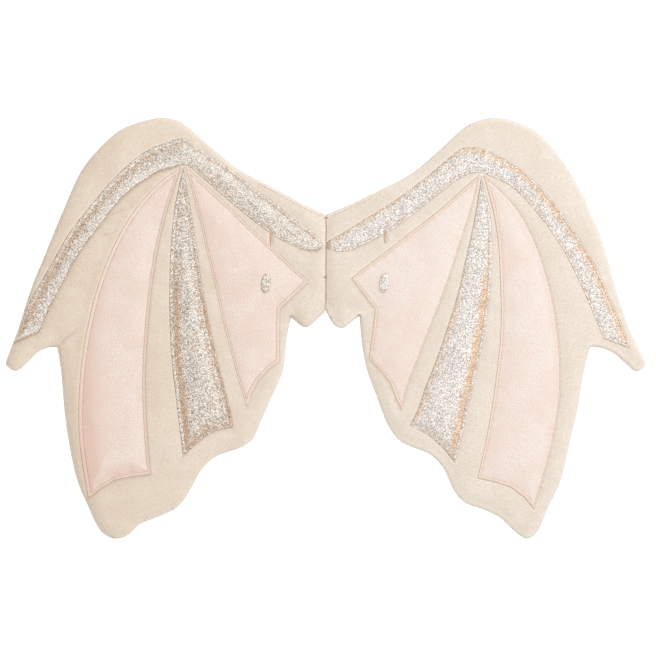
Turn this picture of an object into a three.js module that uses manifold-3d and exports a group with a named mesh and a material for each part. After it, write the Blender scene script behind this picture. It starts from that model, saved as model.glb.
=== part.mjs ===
// Costume dragon wings: a flat, padded pair of wings lying on its back, face up.
// Millimetres. X runs across the wings, Y up the wings, Z out of the face.
// The origin is on the sewn seam between the wings, at half height, on the back face.

import * as THREE from "three";
import { mergeVertices } from "three/addons/utils/BufferGeometryUtils.js";
import Module from "manifold-3d";

const wasm = await Module();
wasm.setup();

// Overall sizes
const HALF_SPAN = 300; // from the middle seam to the claw's tip
const WING_HEIGHT = 395; // from the foot of the wing to its shoulder

// Padding of the wing bodies
const EDGE_HEIGHT = 3.6; // height of the sewn edge above the back face
const FACE_RISE = 4.6; // rise from the sewn edge to a stitch line
const PUFF_RISE = 3.2; // rise of the padding between two stitch lines
const EDGE_ROUNDING = 9; // how far in the face takes to rise from the sewn edge
const BACK_ROUNDING = 7; // how far in the back takes to reach the ground
const PUFF_RUN = 12; // how far from a stitch line the padding is full

// Sewn-on pieces
const SHEET_THICKNESS = 1.1;
const STITCH_INSET = 3.8; // from a sewn-on piece's edge to its stitch line
const PIECE_GAP = 0.3; // clearance between neighbouring pieces

// Arm straps on the back
const STRAP_WIDTH = 16;
const STRAP_THICKNESS = 1.4;
const STRAP_LENGTH = 104;
const STRAP_OUT = 53; // from the middle seam to the strap's centre line
const STRAP_TOP = 78; // the strap's upper end, above half height
const STRAP_CORNER = 2.5; // rounding of the strap's corners

// Spacing of the facets
const EDGE_STEP = 13;
const STITCH_STEP = 14;
const FILL_STEP = 16;
const BACK_STEP = 40;
const TURN_FACETS = 24; // facets of an edge in one full turn
const RIM_ROW = 0.3; // place of the row between the sewn edge and the end of its rounding
const CROWDING = 0.42; // closest spacing of two facet corners, as a share of their step
const TIP_TRIM = 0.97; // how near to its full inset a stitch point must lie
const CORNER_FACETS = 4; // facets of a strap's rounded corner
const MERGE_DISTANCE = 1e-4; // corners of one solid closer than this are one corner
const FRAME_REACH = 20; // size of the triangle that starts a mesh, in sizes of a wing

// Colours
const VELOUR = { color: 0xeaddca, roughness: 0.95, metalness: 0 };
const GLITTER = { color: 0xd8d0c6, roughness: 0.45, metalness: 0.35 };
const LEATHER = { color: 0xf2dfd6, roughness: 0.62, metalness: 0 };
const ELASTIC = { color: 0xefe7dc, roughness: 0.9, metalness: 0 };

// Every row of the tables is one landmark of an edge, with four columns:
//   left out, left down, right out, right down
// "out" counts from the middle seam in shares of HALF_SPAN, 320 to the whole.
// "down" counts from the shoulder in shares of WING_HEIGHT, 421 to the whole.
// The pair is cut by hand, so its two wings differ a little.
const OUT_SHARES = 320;
const DOWN_SHARES = 421;
const COLUMNS = {
  left: { out: 0, down: 1, side: -1 },
  right: { out: 2, down: 3, side: 1 },
};

// Outline of a wing, from the top of the middle seam outwards
const SHOULDER_EDGE = [
  [0, 97, 0, 97],
  [26, 84.5, 26, 86],
  [56, 68, 56, 71.5],
  [86, 52.3, 84, 57],
  [116, 28.5, 114, 32],
  [146, 4, 144, 6.5],
  [166, 0, 168, 0.2],
  [186, 4.5, 189, 4],
  [206, 13, 212, 15],
  [226, 30.5, 231, 35.5],
];
const OUTER_EDGE = [
  [244, 52.5, 249, 62.5],
  [262.5, 92.5, 264, 92.5],
  [279, 132.5, 279, 131],
  [295.2, 172.5, 290.5, 172.5],
  [308, 212.5, 304.5, 212.5],
  [317.5, 237.5, 317, 238],
];
const CLAW_EDGE = [
  [320, 247, 320, 247],
  [310, 253.5, 311, 254],
  [299, 246, 300, 246.5],
  [288, 235, 288, 236],
  [278, 230.2, 276, 230.5],
];
const LEG_EDGE = [
  [268.5, 229.5, 264.3, 229],
  [265, 252.5, 258.4, 252.5],
  [261.5, 292.5, 251.8, 292.5],
  [257.4, 322.5, 244.5, 322.5],
  [248.7, 362.5, 235, 362.5],
  [236, 392.5, 221, 392.5],
];
const FOOT_EDGE = [
  [225, 413.5, 212.5, 412.5],
  [211, 421, 202, 421],
  [197, 417, 190.5, 415.5],
  [186, 407, 174, 400],
  [161, 396.5, 154, 390.5],
];
const STEP_EDGE = [
  [146, 387.5, 139, 385],
  [135, 371.5, 128, 373.5],
  [123, 351, 117, 350.3],
  [109, 338.5, 104, 336.8],
  [86, 330.5, 84, 328.7],
  [73, 322, 72, 321.8],
  [65.7, 306.5, 61.5, 307],
];
const INNER_EDGE = [
  [53, 277.5, 50, 277.5],
  [42.3, 252.5, 40.7, 252.5],
  [39, 223.5, 35.4, 223.5],
];
const SCALLOP_EDGE = [
  [35, 199, 33.3, 198],
  [28, 206, 25.5, 204.3],
  [20, 210.2, 17.5, 210.5],
  [11, 204.5, 8.5, 208],
];
const MIDDLE_SEAM = [
  [0, 193, 0, 193],
];
const BODY_RUNS = [
  [...SHOULDER_EDGE, ...OUTER_EDGE, ...CLAW_EDGE],
  [...LEG_EDGE, ...FOOT_EDGE, ...STEP_EDGE, ...INNER_EDGE],
  SCALLOP_EDGE,
  MIDDLE_SEAM,
];

// Arm band, from its end by the middle seam, out along its top edge and back
const BAND_END = [
  [4, 130, 1.5, 130.5],
  [3, 127, 1, 127],
];
const BAND_TOP_EDGE = [
  [5, 123.5, 2, 123.5],
  [14, 114, 15, 116.5],
  [31, 103, 31, 106.5],
  [49, 87.3, 54, 92.5],
  [70, 72.5, 74, 79.5],
  [95, 51.5, 104, 56.5],
  [116, 38.5, 120, 43],
  [130, 28.5, 132, 33],
  [142, 21.3, 141, 29.8],
  [156, 24, 160, 33],
  [176, 31.5, 174, 40],
  [196, 46, 194, 52.2],
  [216, 65.5, 214, 70.5],
  [236, 89.5, 234, 95.2],
  [256, 115, 253, 122],
  [276, 149.5, 270, 150.5],
  [294, 180.5, 283.5, 181],
  [306, 204.5, 294.5, 204.5],
];
const BAND_CUT = [
  [313, 225.5, 304, 231],
  [299, 219.5, 290, 226],
];
const BAND_LOWER_EDGE = [
  [286, 214, 277.4, 221.3],
  [276, 190.5, 268, 198.5],
  [261, 162.5, 254, 166.5],
  [246, 135, 239.5, 137],
  [226, 108.5, 221, 108.5],
  [204, 80.5, 199, 82],
  [186, 66, 182, 67],
  [168, 54.5, 168, 60.5],
  [154, 50.5, 158, 56.5],
  [139, 48, 143, 56.3],
  [126, 58, 129, 63.5],
  [107, 74.5, 115, 74.5],
  [86, 92.5, 94, 91],
  [66, 108.5, 70, 109.3],
  [46, 122, 46, 123.3],
  [26, 131.5, 26, 132.5],
  [10, 133.5, 10, 134.3],
];
const BAND_RUNS = [[...BAND_END, ...BAND_TOP_EDGE], BAND_CUT, BAND_LOWER_EDGE];

// Rib, from its tip under the band down its outer side and back up its inner side
const RIB_OUTER_EDGE = [
  [142.7, 49.1, 155.3, 57.1],
  [147.2, 70.5, 158.5, 72.8],
  [151.2, 89.5, 163, 90],
  [154.7, 126.5, 165.8, 125.5],
  [156.3, 162.5, 164.7, 162.5],
  [156.1, 202.5, 160.3, 202.5],
  [154, 242.5, 152.6, 242.8],
  [149.5, 282.5, 143.4, 282.5],
  [146, 312.5, 137.2, 312.5],
];
const RIB_FOOT_EDGE = [
  [142.7, 339, 128.5, 345],
  [131, 327, 118, 331.8],
  [116, 315.5, 104, 319],
  [104, 311.5, 93, 312.5],
];
const RIB_INNER_EDGE = [
  [92.5, 309.5, 84, 307.5],
  [95.5, 292.5, 92, 291],
  [100.5, 272.5, 99.5, 268],
  [106, 252.5, 107, 250],
  [115, 212.5, 120.3, 212.5],
  [123, 172.5, 132.4, 173],
  [127.5, 143.5, 139.2, 142.5],
  [132.7, 107.5, 147, 107.5],
  [139, 72.5, 152.6, 73],
];
const RIB_RUNS = [RIB_OUTER_EDGE, RIB_FOOT_EDGE, RIB_INNER_EDGE];

// Outer panel, from its tip under the band down its outer side and back up
const OUTER_PANEL_OUTER_EDGE = [
  [144.3, 49.4, 156.5, 57.3],
  [158, 58.5, 166, 65.5],
  [176, 74.5, 182.2, 80.7],
  [196, 99.5, 198, 102],
  [214, 132.5, 212.3, 132.5],
  [226, 162.5, 222, 162.5],
  [234.5, 192.5, 228.7, 192.5],
  [242.5, 232.5, 233.5, 232.5],
  [246.5, 272.5, 234.4, 272.5],
  [247, 312.5, 229.2, 312.5],
  [244, 342.5, 222.5, 342.5],
];
const OUTER_PANEL_FOOT_EDGE = [
  [237.7, 381, 207.8, 392],
  [226, 371.5, 198, 379.8],
  [211, 362.5, 184, 369.5],
  [194, 359, 167, 364.2],
];
const OUTER_PANEL_INNER_EDGE = [
  [175, 356.8, 151.2, 360.5],
  [177.5, 332.5, 157.6, 333],
  [179.7, 292.5, 165.2, 292.5],
  [180.5, 262.5, 169.5, 262.5],
  [178, 212.5, 174.6, 212.5],
  [173, 162.5, 174, 162.5],
  [166, 122.5, 171.7, 122.5],
  [158.5, 92.5, 166.6, 92.5],
  [150, 65.5, 160.3, 69],
];
const OUTER_PANEL_RUNS = [
  OUTER_PANEL_OUTER_EDGE,
  OUTER_PANEL_FOOT_EDGE,
  OUTER_PANEL_INNER_EDGE,
];

// Inner panel, from its tip under the band down beside the rib and back up
const INNER_PANEL_RIB_EDGE = [
  [141.2, 49.2, 153.5, 56.9],
  [136, 63.5, 150.9, 69.7],
  [131.6, 81.5, 147.7, 82.8],
  [126, 102.5, 141.5, 103.5],
  [119.5, 131.5, 132.4, 131.5],
  [112, 162.5, 122.3, 162.5],
  [103, 202.5, 107.3, 202.5],
  [92.5, 242.5, 91.5, 242.5],
  [84.5, 272.5, 80, 272.5],
];
const INNER_PANEL_HOLLOW_EDGE = [
  [78.2, 290.5, 75.3, 292.5],
  [75, 276.5, 70, 280.5],
  [68, 263.5, 64, 265],
  [57, 251.5, 54, 252.5],
];
const INNER_PANEL_SIDE = [
  [46.5, 244, 42.5, 240.8],
  [46.5, 217.5, 46, 216.5],
];
const INNER_PANEL_LOWER_SLANT = [
  [46, 191.5, 48.8, 191.5],
  [32, 178, 37, 176.5],
];
const INNER_PANEL_UPPER_SLANT = [
  [17.5, 164.5, 25.2, 160.5],
  [36, 147, 41, 147.8],
  [56, 129, 63, 131.5],
  [76, 110, 83, 115.5],
  [95, 91.5, 104, 99.7],
  [116, 72, 126, 81.1],
  [130, 59, 141, 67.5],
];
const INNER_PANEL_RUNS = [
  INNER_PANEL_RIB_EDGE,
  INNER_PANEL_HOLLOW_EDGE,
  INNER_PANEL_SIDE,
  INNER_PANEL_LOWER_SLANT,
  INNER_PANEL_UPPER_SLANT,
];

const SEWN_PIECES = [
  { name: "arm_band", runs: BAND_RUNS, look: GLITTER },
  { name: "rib", runs: RIB_RUNS, look: GLITTER },
  { name: "outer_panel", runs: OUTER_PANEL_RUNS, look: LEATHER },
  { name: "inner_panel", runs: INNER_PANEL_RUNS, look: LEATHER },
];

// Place of one landmark on the wing
function landmark(row, column) {
  const reach = HALF_SPAN - PIECE_GAP / 2;
  const out = PIECE_GAP / 2 + (row[column.out] / OUT_SHARES) * reach;
  const down = (row[column.down] / DOWN_SHARES) * WING_HEIGHT;
  return new THREE.Vector3(column.side * out, WING_HEIGHT / 2 - down, 0);
}

// Points of a smooth curve through its landmarks, closer together where it turns
function curvePoints(marks, step) {
  const curve = new THREE.CatmullRomCurve3(marks, false, "centripetal");
  const points = [];
  for (let i = 0; i < marks.length - 1; i += 1) {
    const start = i / (marks.length - 1);
    const end = (i + 1) / (marks.length - 1);
    const turns = curve.getTangent(start).angleTo(curve.getTangent(end)) / (2 * Math.PI);
    const length = marks[i].distanceTo(marks[i + 1]);
    const pieces = Math.max(1, Math.round(length / step), Math.round(turns * TURN_FACETS));
    for (let piece = 0; piece < pieces; piece += 1) {
      const { x, y } = curve.getPoint(start + (end - start) * (piece / pieces));
      points.push(new THREE.Vector2(x, y));
    }
  }
  return points;
}

// Closed loop of points through the runs, with a corner where two runs meet
function loopThrough(runs, column, step) {
  const loop = runs.flatMap((run, index) => {
    const next = runs[(index + 1) % runs.length][0];
    return curvePoints([...run, next].map((row) => landmark(row, column)), step);
  });
  return THREE.ShapeUtils.isClockWise(loop) ? loop.reverse() : loop;
}

// Distance from a point to a closed loop
function distanceToLoop(point, loop) {
  let nearest = Infinity;
  for (let i = 0; i < loop.length; i += 1) {
    const start = loop[i];
    const end = loop[(i + 1) % loop.length];
    const along = end.clone().sub(start);
    const share = point.clone().sub(start).dot(along) / along.lengthSq();
    const foot = start.clone().addScaledVector(along, THREE.MathUtils.clamp(share, 0, 1));
    nearest = Math.min(nearest, foot.distanceTo(point));
  }
  return nearest;
}

// True where a point lies inside a closed loop
function isInside(point, loop) {
  let inside = false;
  for (let i = 0; i < loop.length; i += 1) {
    const a = loop[i];
    const b = loop[(i + 1) % loop.length];
    const crosses = (a.y > point.y) !== (b.y > point.y);
    if (crosses && point.x < a.x + ((point.y - a.y) / (b.y - a.y)) * (b.x - a.x)) {
      inside = !inside;
    }
  }
  return inside;
}

// Distance into a loop, below zero outside it
function depthInLoop(point, loop) {
  const distance = distanceToLoop(point, loop);
  return isInside(point, loop) ? distance : -distance;
}

// Points of a loop moved inwards, without those that a tip leaves too near its sides
function insetRow(loop, inset) {
  return loop
    .map((point, i) => {
      const before = loop[(i + loop.length - 1) % loop.length];
      const after = loop[(i + 1) % loop.length];
      const along = after.clone().sub(before).normalize();
      return point.clone().add(new THREE.Vector2(-along.y, along.x).multiplyScalar(inset));
    })
    .filter((point) => depthInLoop(point, loop) >= inset * TIP_TRIM);
}

// Adds the candidates that keep their distance from the points already there
function addSpaced(points, candidates, spacing) {
  candidates.forEach((candidate) => {
    if (points.every((point) => point.distanceTo(candidate) >= spacing)) {
      points.push(candidate);
    }
  });
}

// Staggered rows of points over a loop, well inside it
function fillRows(loop, step, margin) {
  const box = new THREE.Box2().setFromPoints(loop);
  const rise = step * Math.sqrt(3) / 2;
  const points = [];
  for (let row = 0; box.min.y + row * rise < box.max.y; row += 1) {
    const shift = (row % 2) * step / 2;
    for (let x = box.min.x + shift; x < box.max.x; x += step) {
      const point = new THREE.Vector2(x, box.min.y + row * rise);
      if (depthInLoop(point, loop) > margin) {
        points.push(point);
      }
    }
  }
  return points;
}

// Circle through three points
function circleThrough(a, b, c) {
  const d = 2 * (a.x * (b.y - c.y) + b.x * (c.y - a.y) + c.x * (a.y - b.y));
  const sa = a.lengthSq();
  const sb = b.lengthSq();
  const sc = c.lengthSq();
  const x = (sa * (b.y - c.y) + sb * (c.y - a.y) + sc * (a.y - b.y)) / d;
  const y = (sa * (c.x - b.x) + sb * (a.x - c.x) + sc * (b.x - a.x)) / d;
  const centre = new THREE.Vector2(x, y);
  return { centre, radius: centre.distanceTo(a) };
}

// Even triangles between scattered points, added one point at a time
function trianglesBetween(scattered) {
  const far = FRAME_REACH * (HALF_SPAN + WING_HEIGHT);
  const frame = [
    new THREE.Vector2(-far, -far),
    new THREE.Vector2(far, -far),
    new THREE.Vector2(0, far),
  ];
  const points = [...scattered, ...frame];
  const first = scattered.length;
  const triangle = (corners) => ({
    corners,
    circle: circleThrough(...corners.map((corner) => points[corner])),
  });
  let triangles = [triangle([first, first + 1, first + 2])];
  scattered.forEach((point, index) => {
    const open = new Map();
    triangles = triangles.filter(({ corners, circle }) => {
      if (circle.centre.distanceTo(point) >= circle.radius) {
        return true;
      }
      corners.forEach((from, i) => {
        const to = corners[(i + 1) % 3];
        if (!open.delete(`${to} ${from}`)) {
          open.set(`${from} ${to}`, [from, to]);
        }
      });
      return false;
    });
    open.forEach(([from, to]) => triangles.push(triangle([from, to, index])));
  });
  return triangles
    .map(({ corners }) => corners)
    .filter((corners) => corners.every((corner) => corner < first));
}

// Triangles inside a loop; a loop edge that they miss gets a point at its middle
function surfaceInside(edge, inner) {
  let loop = edge;
  for (;;) {
    const points = [...loop, ...inner];
    const triangles = trianglesBetween(points).filter((corners) => {
      const middle = new THREE.Vector2();
      corners.forEach((corner) => middle.add(points[corner]));
      return isInside(middle.divideScalar(3), loop);
    });
    const sides = new Set(
      triangles.flatMap((corners) => corners.map((c, i) => `${c} ${corners[(i + 1) % 3]}`)),
    );
    const closed = loop.flatMap((point, i) => {
      const after = (i + 1) % loop.length;
      return sides.has(`${i} ${after}`)
        ? [point]
        : [point, point.clone().lerp(loop[after], 0.5)];
    });
    if (closed.length === loop.length) {
      return { loop, points, triangles };
    }
    loop = closed;
  }
}

// Front and back of a wing over one shared edge loop
function sharedSurfaces(edge, frontPoints, backPoints) {
  let front = surfaceInside(edge, frontPoints);
  let back = surfaceInside(front.loop, backPoints);
  while (front.loop.length !== back.loop.length) {
    front = surfaceInside(back.loop, frontPoints);
    back = surfaceInside(front.loop, backPoints);
  }
  return { front, back };
}

// Height of a quarter circle and of a soft swell, each over a run from 0 to 1
function quarterRound(share) {
  const rest = 1 - THREE.MathUtils.clamp(share, 0, 1);
  return Math.sqrt(1 - rest * rest);
}
function softSwell(share) {
  const rest = 1 - THREE.MathUtils.clamp(share, 0, 1);
  return 1 - rest * rest;
}

// Height of a wing's face: the edge rounds up, and each stitch line is a valley
function faceHeight(point, wing) {
  const edge = distanceToLoop(point, wing.outline);
  const stitches = wing.pieces.map((piece) => {
    return Math.abs(depthInLoop(point, piece.loop) - STITCH_INSET);
  });
  const seam = Math.min(edge, ...stitches);
  const rim = FACE_RISE * quarterRound(edge / EDGE_ROUNDING);
  return EDGE_HEIGHT + rim + PUFF_RISE * softSwell(seam / PUFF_RUN);
}

// Height of a wing's back, flat on the ground inside its rounded edge
function backHeight(point, wing) {
  const edge = distanceToLoop(point, wing.outline);
  return EDGE_HEIGHT * (1 - quarterRound(edge / BACK_ROUNDING));
}

// Closed solid between an upper and a lower sheet of points over one edge loop
function solidBetween(upper, upperZ, lower, lowerZ, edgeCount, joined) {
  const positions = [];
  upper.points.forEach((point, i) => positions.push(point.x, point.y, upperZ[i]));
  const lowerIndex = lower.points.map((point, i) => {
    if (joined && i < edgeCount) {
      return i;
    }
    positions.push(point.x, point.y, lowerZ[i]);
    return positions.length / 3 - 1;
  });
  const faces = [...upper.triangles];
  lower.triangles.forEach(([a, b, c]) => {
    faces.push([lowerIndex[a], lowerIndex[c], lowerIndex[b]]);
  });
  for (let i = 0; i < edgeCount && !joined; i += 1) {
    const after = (i + 1) % edgeCount;
    faces.push([lowerIndex[i], lowerIndex[after], after]);
    faces.push([lowerIndex[i], after, i]);
  }
  return new wasm.Manifold(new wasm.Mesh({
    numProp: 3,
    vertProperties: new Float32Array(positions),
    triVerts: new Uint32Array(faces.flat()),
  }));
}

// A closed three.js geometry as a solid
function solidFrom(geometry) {
  const bare = geometry.clone();
  bare.deleteAttribute("normal");
  bare.deleteAttribute("uv");
  const merged = mergeVertices(bare, MERGE_DISTANCE);
  return new wasm.Manifold(new wasm.Mesh({
    numProp: 3,
    vertProperties: new Float32Array(merged.attributes.position.array),
    triVerts: new Uint32Array(merged.index.array),
  }));
}

// A solid as a named mesh with its material
function meshOf(solid, name, look) {
  const { numProp, vertProperties, triVerts } = solid.getMesh();
  const geometry = new THREE.BufferGeometry();
  geometry.setAttribute("position", new THREE.BufferAttribute(vertProperties, numProp));
  geometry.setIndex(new THREE.BufferAttribute(triVerts, 1));
  geometry.computeVertexNormals();
  const mesh = new THREE.Mesh(geometry, new THREE.MeshStandardMaterial(look));
  mesh.name = name;
  return mesh;
}

// Upright prism over a loop, tall enough to cut the whole padding
function prismOver(loop) {
  const height = EDGE_HEIGHT + FACE_RISE + PUFF_RISE + 2 * (PIECE_GAP + SHEET_THICKNESS);
  return solidFrom(new THREE.ExtrudeGeometry(new THREE.Shape(loop), {
    depth: height,
    bevelEnabled: false,
  }));
}

// Flat strap with rounded corners, grown all round by a clearance
function strapSolid(side, clearance) {
  const halfWidth = STRAP_WIDTH / 2 + clearance;
  const halfLength = STRAP_LENGTH / 2 + clearance;
  const corner = STRAP_CORNER + clearance;
  const shape = new THREE.Shape();
  shape.moveTo(halfWidth, corner - halfLength);
  shape.lineTo(halfWidth, halfLength - corner);
  shape.absarc(halfWidth - corner, halfLength - corner, corner, 0, Math.PI / 2);
  shape.absarc(corner - halfWidth, halfLength - corner, corner, Math.PI / 2, Math.PI);
  shape.absarc(corner - halfWidth, corner - halfLength, corner, Math.PI, 1.5 * Math.PI);
  shape.absarc(halfWidth - corner, corner - halfLength, corner, 1.5 * Math.PI, 2 * Math.PI);
  const geometry = new THREE.ExtrudeGeometry(shape, {
    depth: STRAP_THICKNESS + 2 * clearance,
    bevelEnabled: false,
    curveSegments: CORNER_FACETS,
  });
  geometry.translate(side * STRAP_OUT, STRAP_TOP - STRAP_LENGTH / 2, PIECE_GAP - clearance);
  return solidFrom(geometry);
}

// All the pieces of one wing
function buildWing(sideName) {
  const column = COLUMNS[sideName];
  const outline = loopThrough(BODY_RUNS, column, EDGE_STEP);
  const pieces = SEWN_PIECES.map((piece) => ({
    ...piece,
    loop: loopThrough(piece.runs, column, STITCH_STEP),
  }));
  const wing = { outline, pieces };

  const frontPoints = insetRow(outline, EDGE_ROUNDING * RIM_ROW);
  addSpaced(frontPoints, insetRow(outline, EDGE_ROUNDING), EDGE_STEP * CROWDING);
  pieces.forEach((piece) => {
    const stitches = insetRow(piece.loop, STITCH_INSET);
    addSpaced(frontPoints, stitches, STITCH_STEP * CROWDING);
  });
  const fill = fillRows(outline, FILL_STEP, EDGE_ROUNDING);
  addSpaced(frontPoints, fill, FILL_STEP * CROWDING);

  const backPoints = insetRow(outline, BACK_ROUNDING * RIM_ROW);
  addSpaced(backPoints, insetRow(outline, BACK_ROUNDING), EDGE_STEP * CROWDING);
  addSpaced(backPoints, fillRows(outline, BACK_STEP, BACK_ROUNDING), BACK_STEP * CROWDING);

  const { front, back } = sharedSurfaces(outline, frontPoints, backPoints);
  const frontZ = front.points.map((point) => faceHeight(point, wing));
  const backZ = back.points.map((point) => backHeight(point, wing));
  const edgeCount = front.loop.length;
  const body = solidBetween(front, frontZ, back, backZ, edgeCount, true)
    .subtract(strapSolid(column.side, PIECE_GAP));

  const underside = frontZ.map((z) => z + PIECE_GAP);
  const upside = frontZ.map((z) => z + PIECE_GAP + SHEET_THICKNESS);
  const blanket = solidBetween(front, upside, front, underside, edgeCount, false);

  const group = new THREE.Group();
  group.add(meshOf(body, `${sideName}_wing_body`, VELOUR));
  pieces.forEach((piece) => {
    const sheet = blanket.intersect(prismOver(piece.loop));
    group.add(meshOf(sheet, `${sideName}_${piece.name}`, piece.look));
  });
  group.add(meshOf(strapSolid(column.side, 0), `${sideName}_arm_strap`, ELASTIC));
  return group;
}

const wings = new THREE.Group();
Object.keys(COLUMNS).forEach((sideName) => wings.add(buildWing(sideName)));

export default wings;
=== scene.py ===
"""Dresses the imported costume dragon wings: padding, cloth, stitching, floor, light and camera."""

import logging
import math
from collections.abc import Callable, Iterator
from contextlib import contextmanager
from dataclasses import dataclass, field
from enum import Enum

import bmesh
import bpy
import numpy as np
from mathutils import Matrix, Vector
from mathutils.bvhtree import BVHTree
from mathutils.geometry import delaunay_2d_cdt
from mathutils.kdtree import KDTree


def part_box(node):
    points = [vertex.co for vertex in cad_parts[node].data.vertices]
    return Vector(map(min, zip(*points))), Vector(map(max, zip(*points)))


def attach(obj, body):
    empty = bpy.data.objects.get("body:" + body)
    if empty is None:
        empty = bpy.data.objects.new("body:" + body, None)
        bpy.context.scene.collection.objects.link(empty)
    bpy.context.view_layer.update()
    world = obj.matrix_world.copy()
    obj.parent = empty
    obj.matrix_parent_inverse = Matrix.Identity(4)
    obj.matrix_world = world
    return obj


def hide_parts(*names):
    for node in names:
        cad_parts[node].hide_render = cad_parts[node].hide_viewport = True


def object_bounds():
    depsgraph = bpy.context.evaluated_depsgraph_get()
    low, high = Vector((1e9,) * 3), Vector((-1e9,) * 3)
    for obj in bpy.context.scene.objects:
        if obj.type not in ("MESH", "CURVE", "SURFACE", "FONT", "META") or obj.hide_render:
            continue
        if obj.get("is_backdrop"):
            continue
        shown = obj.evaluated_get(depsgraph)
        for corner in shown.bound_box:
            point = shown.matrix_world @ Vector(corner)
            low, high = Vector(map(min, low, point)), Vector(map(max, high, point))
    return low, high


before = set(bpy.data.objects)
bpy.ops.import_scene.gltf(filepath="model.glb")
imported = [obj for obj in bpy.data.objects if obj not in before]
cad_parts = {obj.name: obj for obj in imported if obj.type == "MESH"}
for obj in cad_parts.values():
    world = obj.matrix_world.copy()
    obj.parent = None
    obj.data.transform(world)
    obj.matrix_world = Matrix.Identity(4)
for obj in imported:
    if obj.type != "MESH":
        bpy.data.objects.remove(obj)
CAD_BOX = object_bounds()

LOG = logging.getLogger("dragon_wings")
MM = 0.001
MERGE_GAP = 0.01 * MM
RAY_START = 100 * MM
OUTLINE_STEP = 0.8 * MM


class Side(Enum):
    """The wing on each side of the middle seam."""

    LEFT = "left"
    RIGHT = "right"


class Cut(Enum):
    """The cut pieces that are sewn onto each wing."""

    ARM_BAND = "arm_band"
    RIB = "rib"
    OUTER_PANEL = "outer_panel"
    INNER_PANEL = "inner_panel"


# Curves and outlines, in metres and seen from above


def unit(values: np.ndarray) -> np.ndarray:
    """Limits values to the range from 0 to 1."""
    return np.clip(values, 0.0, 1.0)


def bell(distance: np.ndarray, width: float) -> np.ndarray:
    """Bell curve that falls away from zero over a width."""
    return np.exp(-(distance / width) ** 2)


def way(degrees: float) -> np.ndarray:
    """Direction across the floor plan, 0 degrees to the right and 90 up."""
    turn = math.radians(degrees)
    return np.array([math.cos(turn), math.sin(turn)])


KEY_WAY = way(25)  # Where the key light comes from


def near(points: np.ndarray, low: np.ndarray, high: np.ndarray, margin: float) -> np.ndarray:
    """Numbers of the points whose place is within a margin of a box."""
    return np.flatnonzero(((points > low - margin) & (points < high + margin)).all(axis=1))


def catmull_run(marks: np.ndarray, spacing: float) -> np.ndarray:
    """Samples a smooth curve through a run of marks.

    Args:
        marks: The marks in order, one row each.
        spacing: Distance wanted between samples.

    Returns:
        The samples from the first mark on, without the last mark.
    """
    padded = np.vstack([2 * marks[0] - marks[1], marks, 2 * marks[-1] - marks[-2]])
    samples = []
    for i in range(1, len(padded) - 2):
        p = padded[i - 1:i + 3]
        gaps = np.sqrt(np.linalg.norm(np.diff(p, axis=0), axis=1)) + 1e-9
        t = np.concatenate([[0.0], np.cumsum(gaps)])
        count = max(1, round(float(np.linalg.norm(p[2] - p[1])) / spacing))
        at = (t[1] + (t[2] - t[1]) * np.arange(count) / count)[:, None]
        a1 = (t[1] - at) / (t[1] - t[0]) * p[0] + (at - t[0]) / (t[1] - t[0]) * p[1]
        a2 = (t[2] - at) / (t[2] - t[1]) * p[1] + (at - t[1]) / (t[2] - t[1]) * p[2]
        a3 = (t[3] - at) / (t[3] - t[2]) * p[2] + (at - t[2]) / (t[3] - t[2]) * p[3]
        b1 = (t[2] - at) / (t[2] - t[0]) * a1 + (at - t[0]) / (t[2] - t[0]) * a2
        b2 = (t[3] - at) / (t[3] - t[1]) * a2 + (at - t[1]) / (t[3] - t[1]) * a3
        samples.append((t[2] - at) / (t[2] - t[1]) * b1 + (at - t[1]) / (t[2] - t[1]) * b2)
    return np.vstack(samples)


def even_steps(path: np.ndarray, spacing: float) -> np.ndarray:
    """Spreads points at even distances along an open path.

    Args:
        path: The path's points.
        spacing: Distance wanted between two points.

    Returns:
        The new points, from one end to the other.
    """
    arc = np.concatenate([[0.0], np.cumsum(np.linalg.norm(np.diff(path, axis=0), axis=1))])
    count = max(2, round(arc[-1] / spacing) + 1)
    at = np.linspace(0.0, arc[-1], count)
    return np.column_stack([np.interp(at, arc, path[:, k]) for k in range(path.shape[1])])


def thinned(points: np.ndarray, kept: np.ndarray, spacing: float) -> np.ndarray:
    """Drops the points that crowd those already kept.

    Args:
        points: Candidates in order of preference.
        kept: Points that stay whatever comes.
        spacing: Smallest distance allowed.

    Returns:
        The kept points followed by the candidates that found room.
    """
    cells: dict[tuple[int, int], list[np.ndarray]] = {}
    found = []

    def cell(point: np.ndarray) -> tuple[int, int]:
        """Grid cell that holds a point."""
        return int(point[0] // spacing), int(point[1] // spacing)

    for point in kept:
        cells.setdefault(cell(point), []).append(point)
    for point in points:
        i, j = cell(point)
        near = (q for a in (-1, 0, 1) for b in (-1, 0, 1) for q in cells.get((i + a, j + b), ()))
        if all((q[0] - point[0]) ** 2 + (q[1] - point[1]) ** 2 >= spacing ** 2 for q in near):
            cells.setdefault((i, j), []).append(point)
            found.append(point)
    return np.vstack([kept, found]) if found else kept


@dataclass(frozen=True)
class Spots:
    """How points lie to the edge of a cut piece.

    The depth is the distance inside the edge, below zero outside it. The place is the arc
    length of the nearest spot on the edge, and facing the outward direction there. The
    height is the point's own place up the wing.
    """

    depth: np.ndarray
    place: np.ndarray
    facing: np.ndarray
    height: np.ndarray


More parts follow.
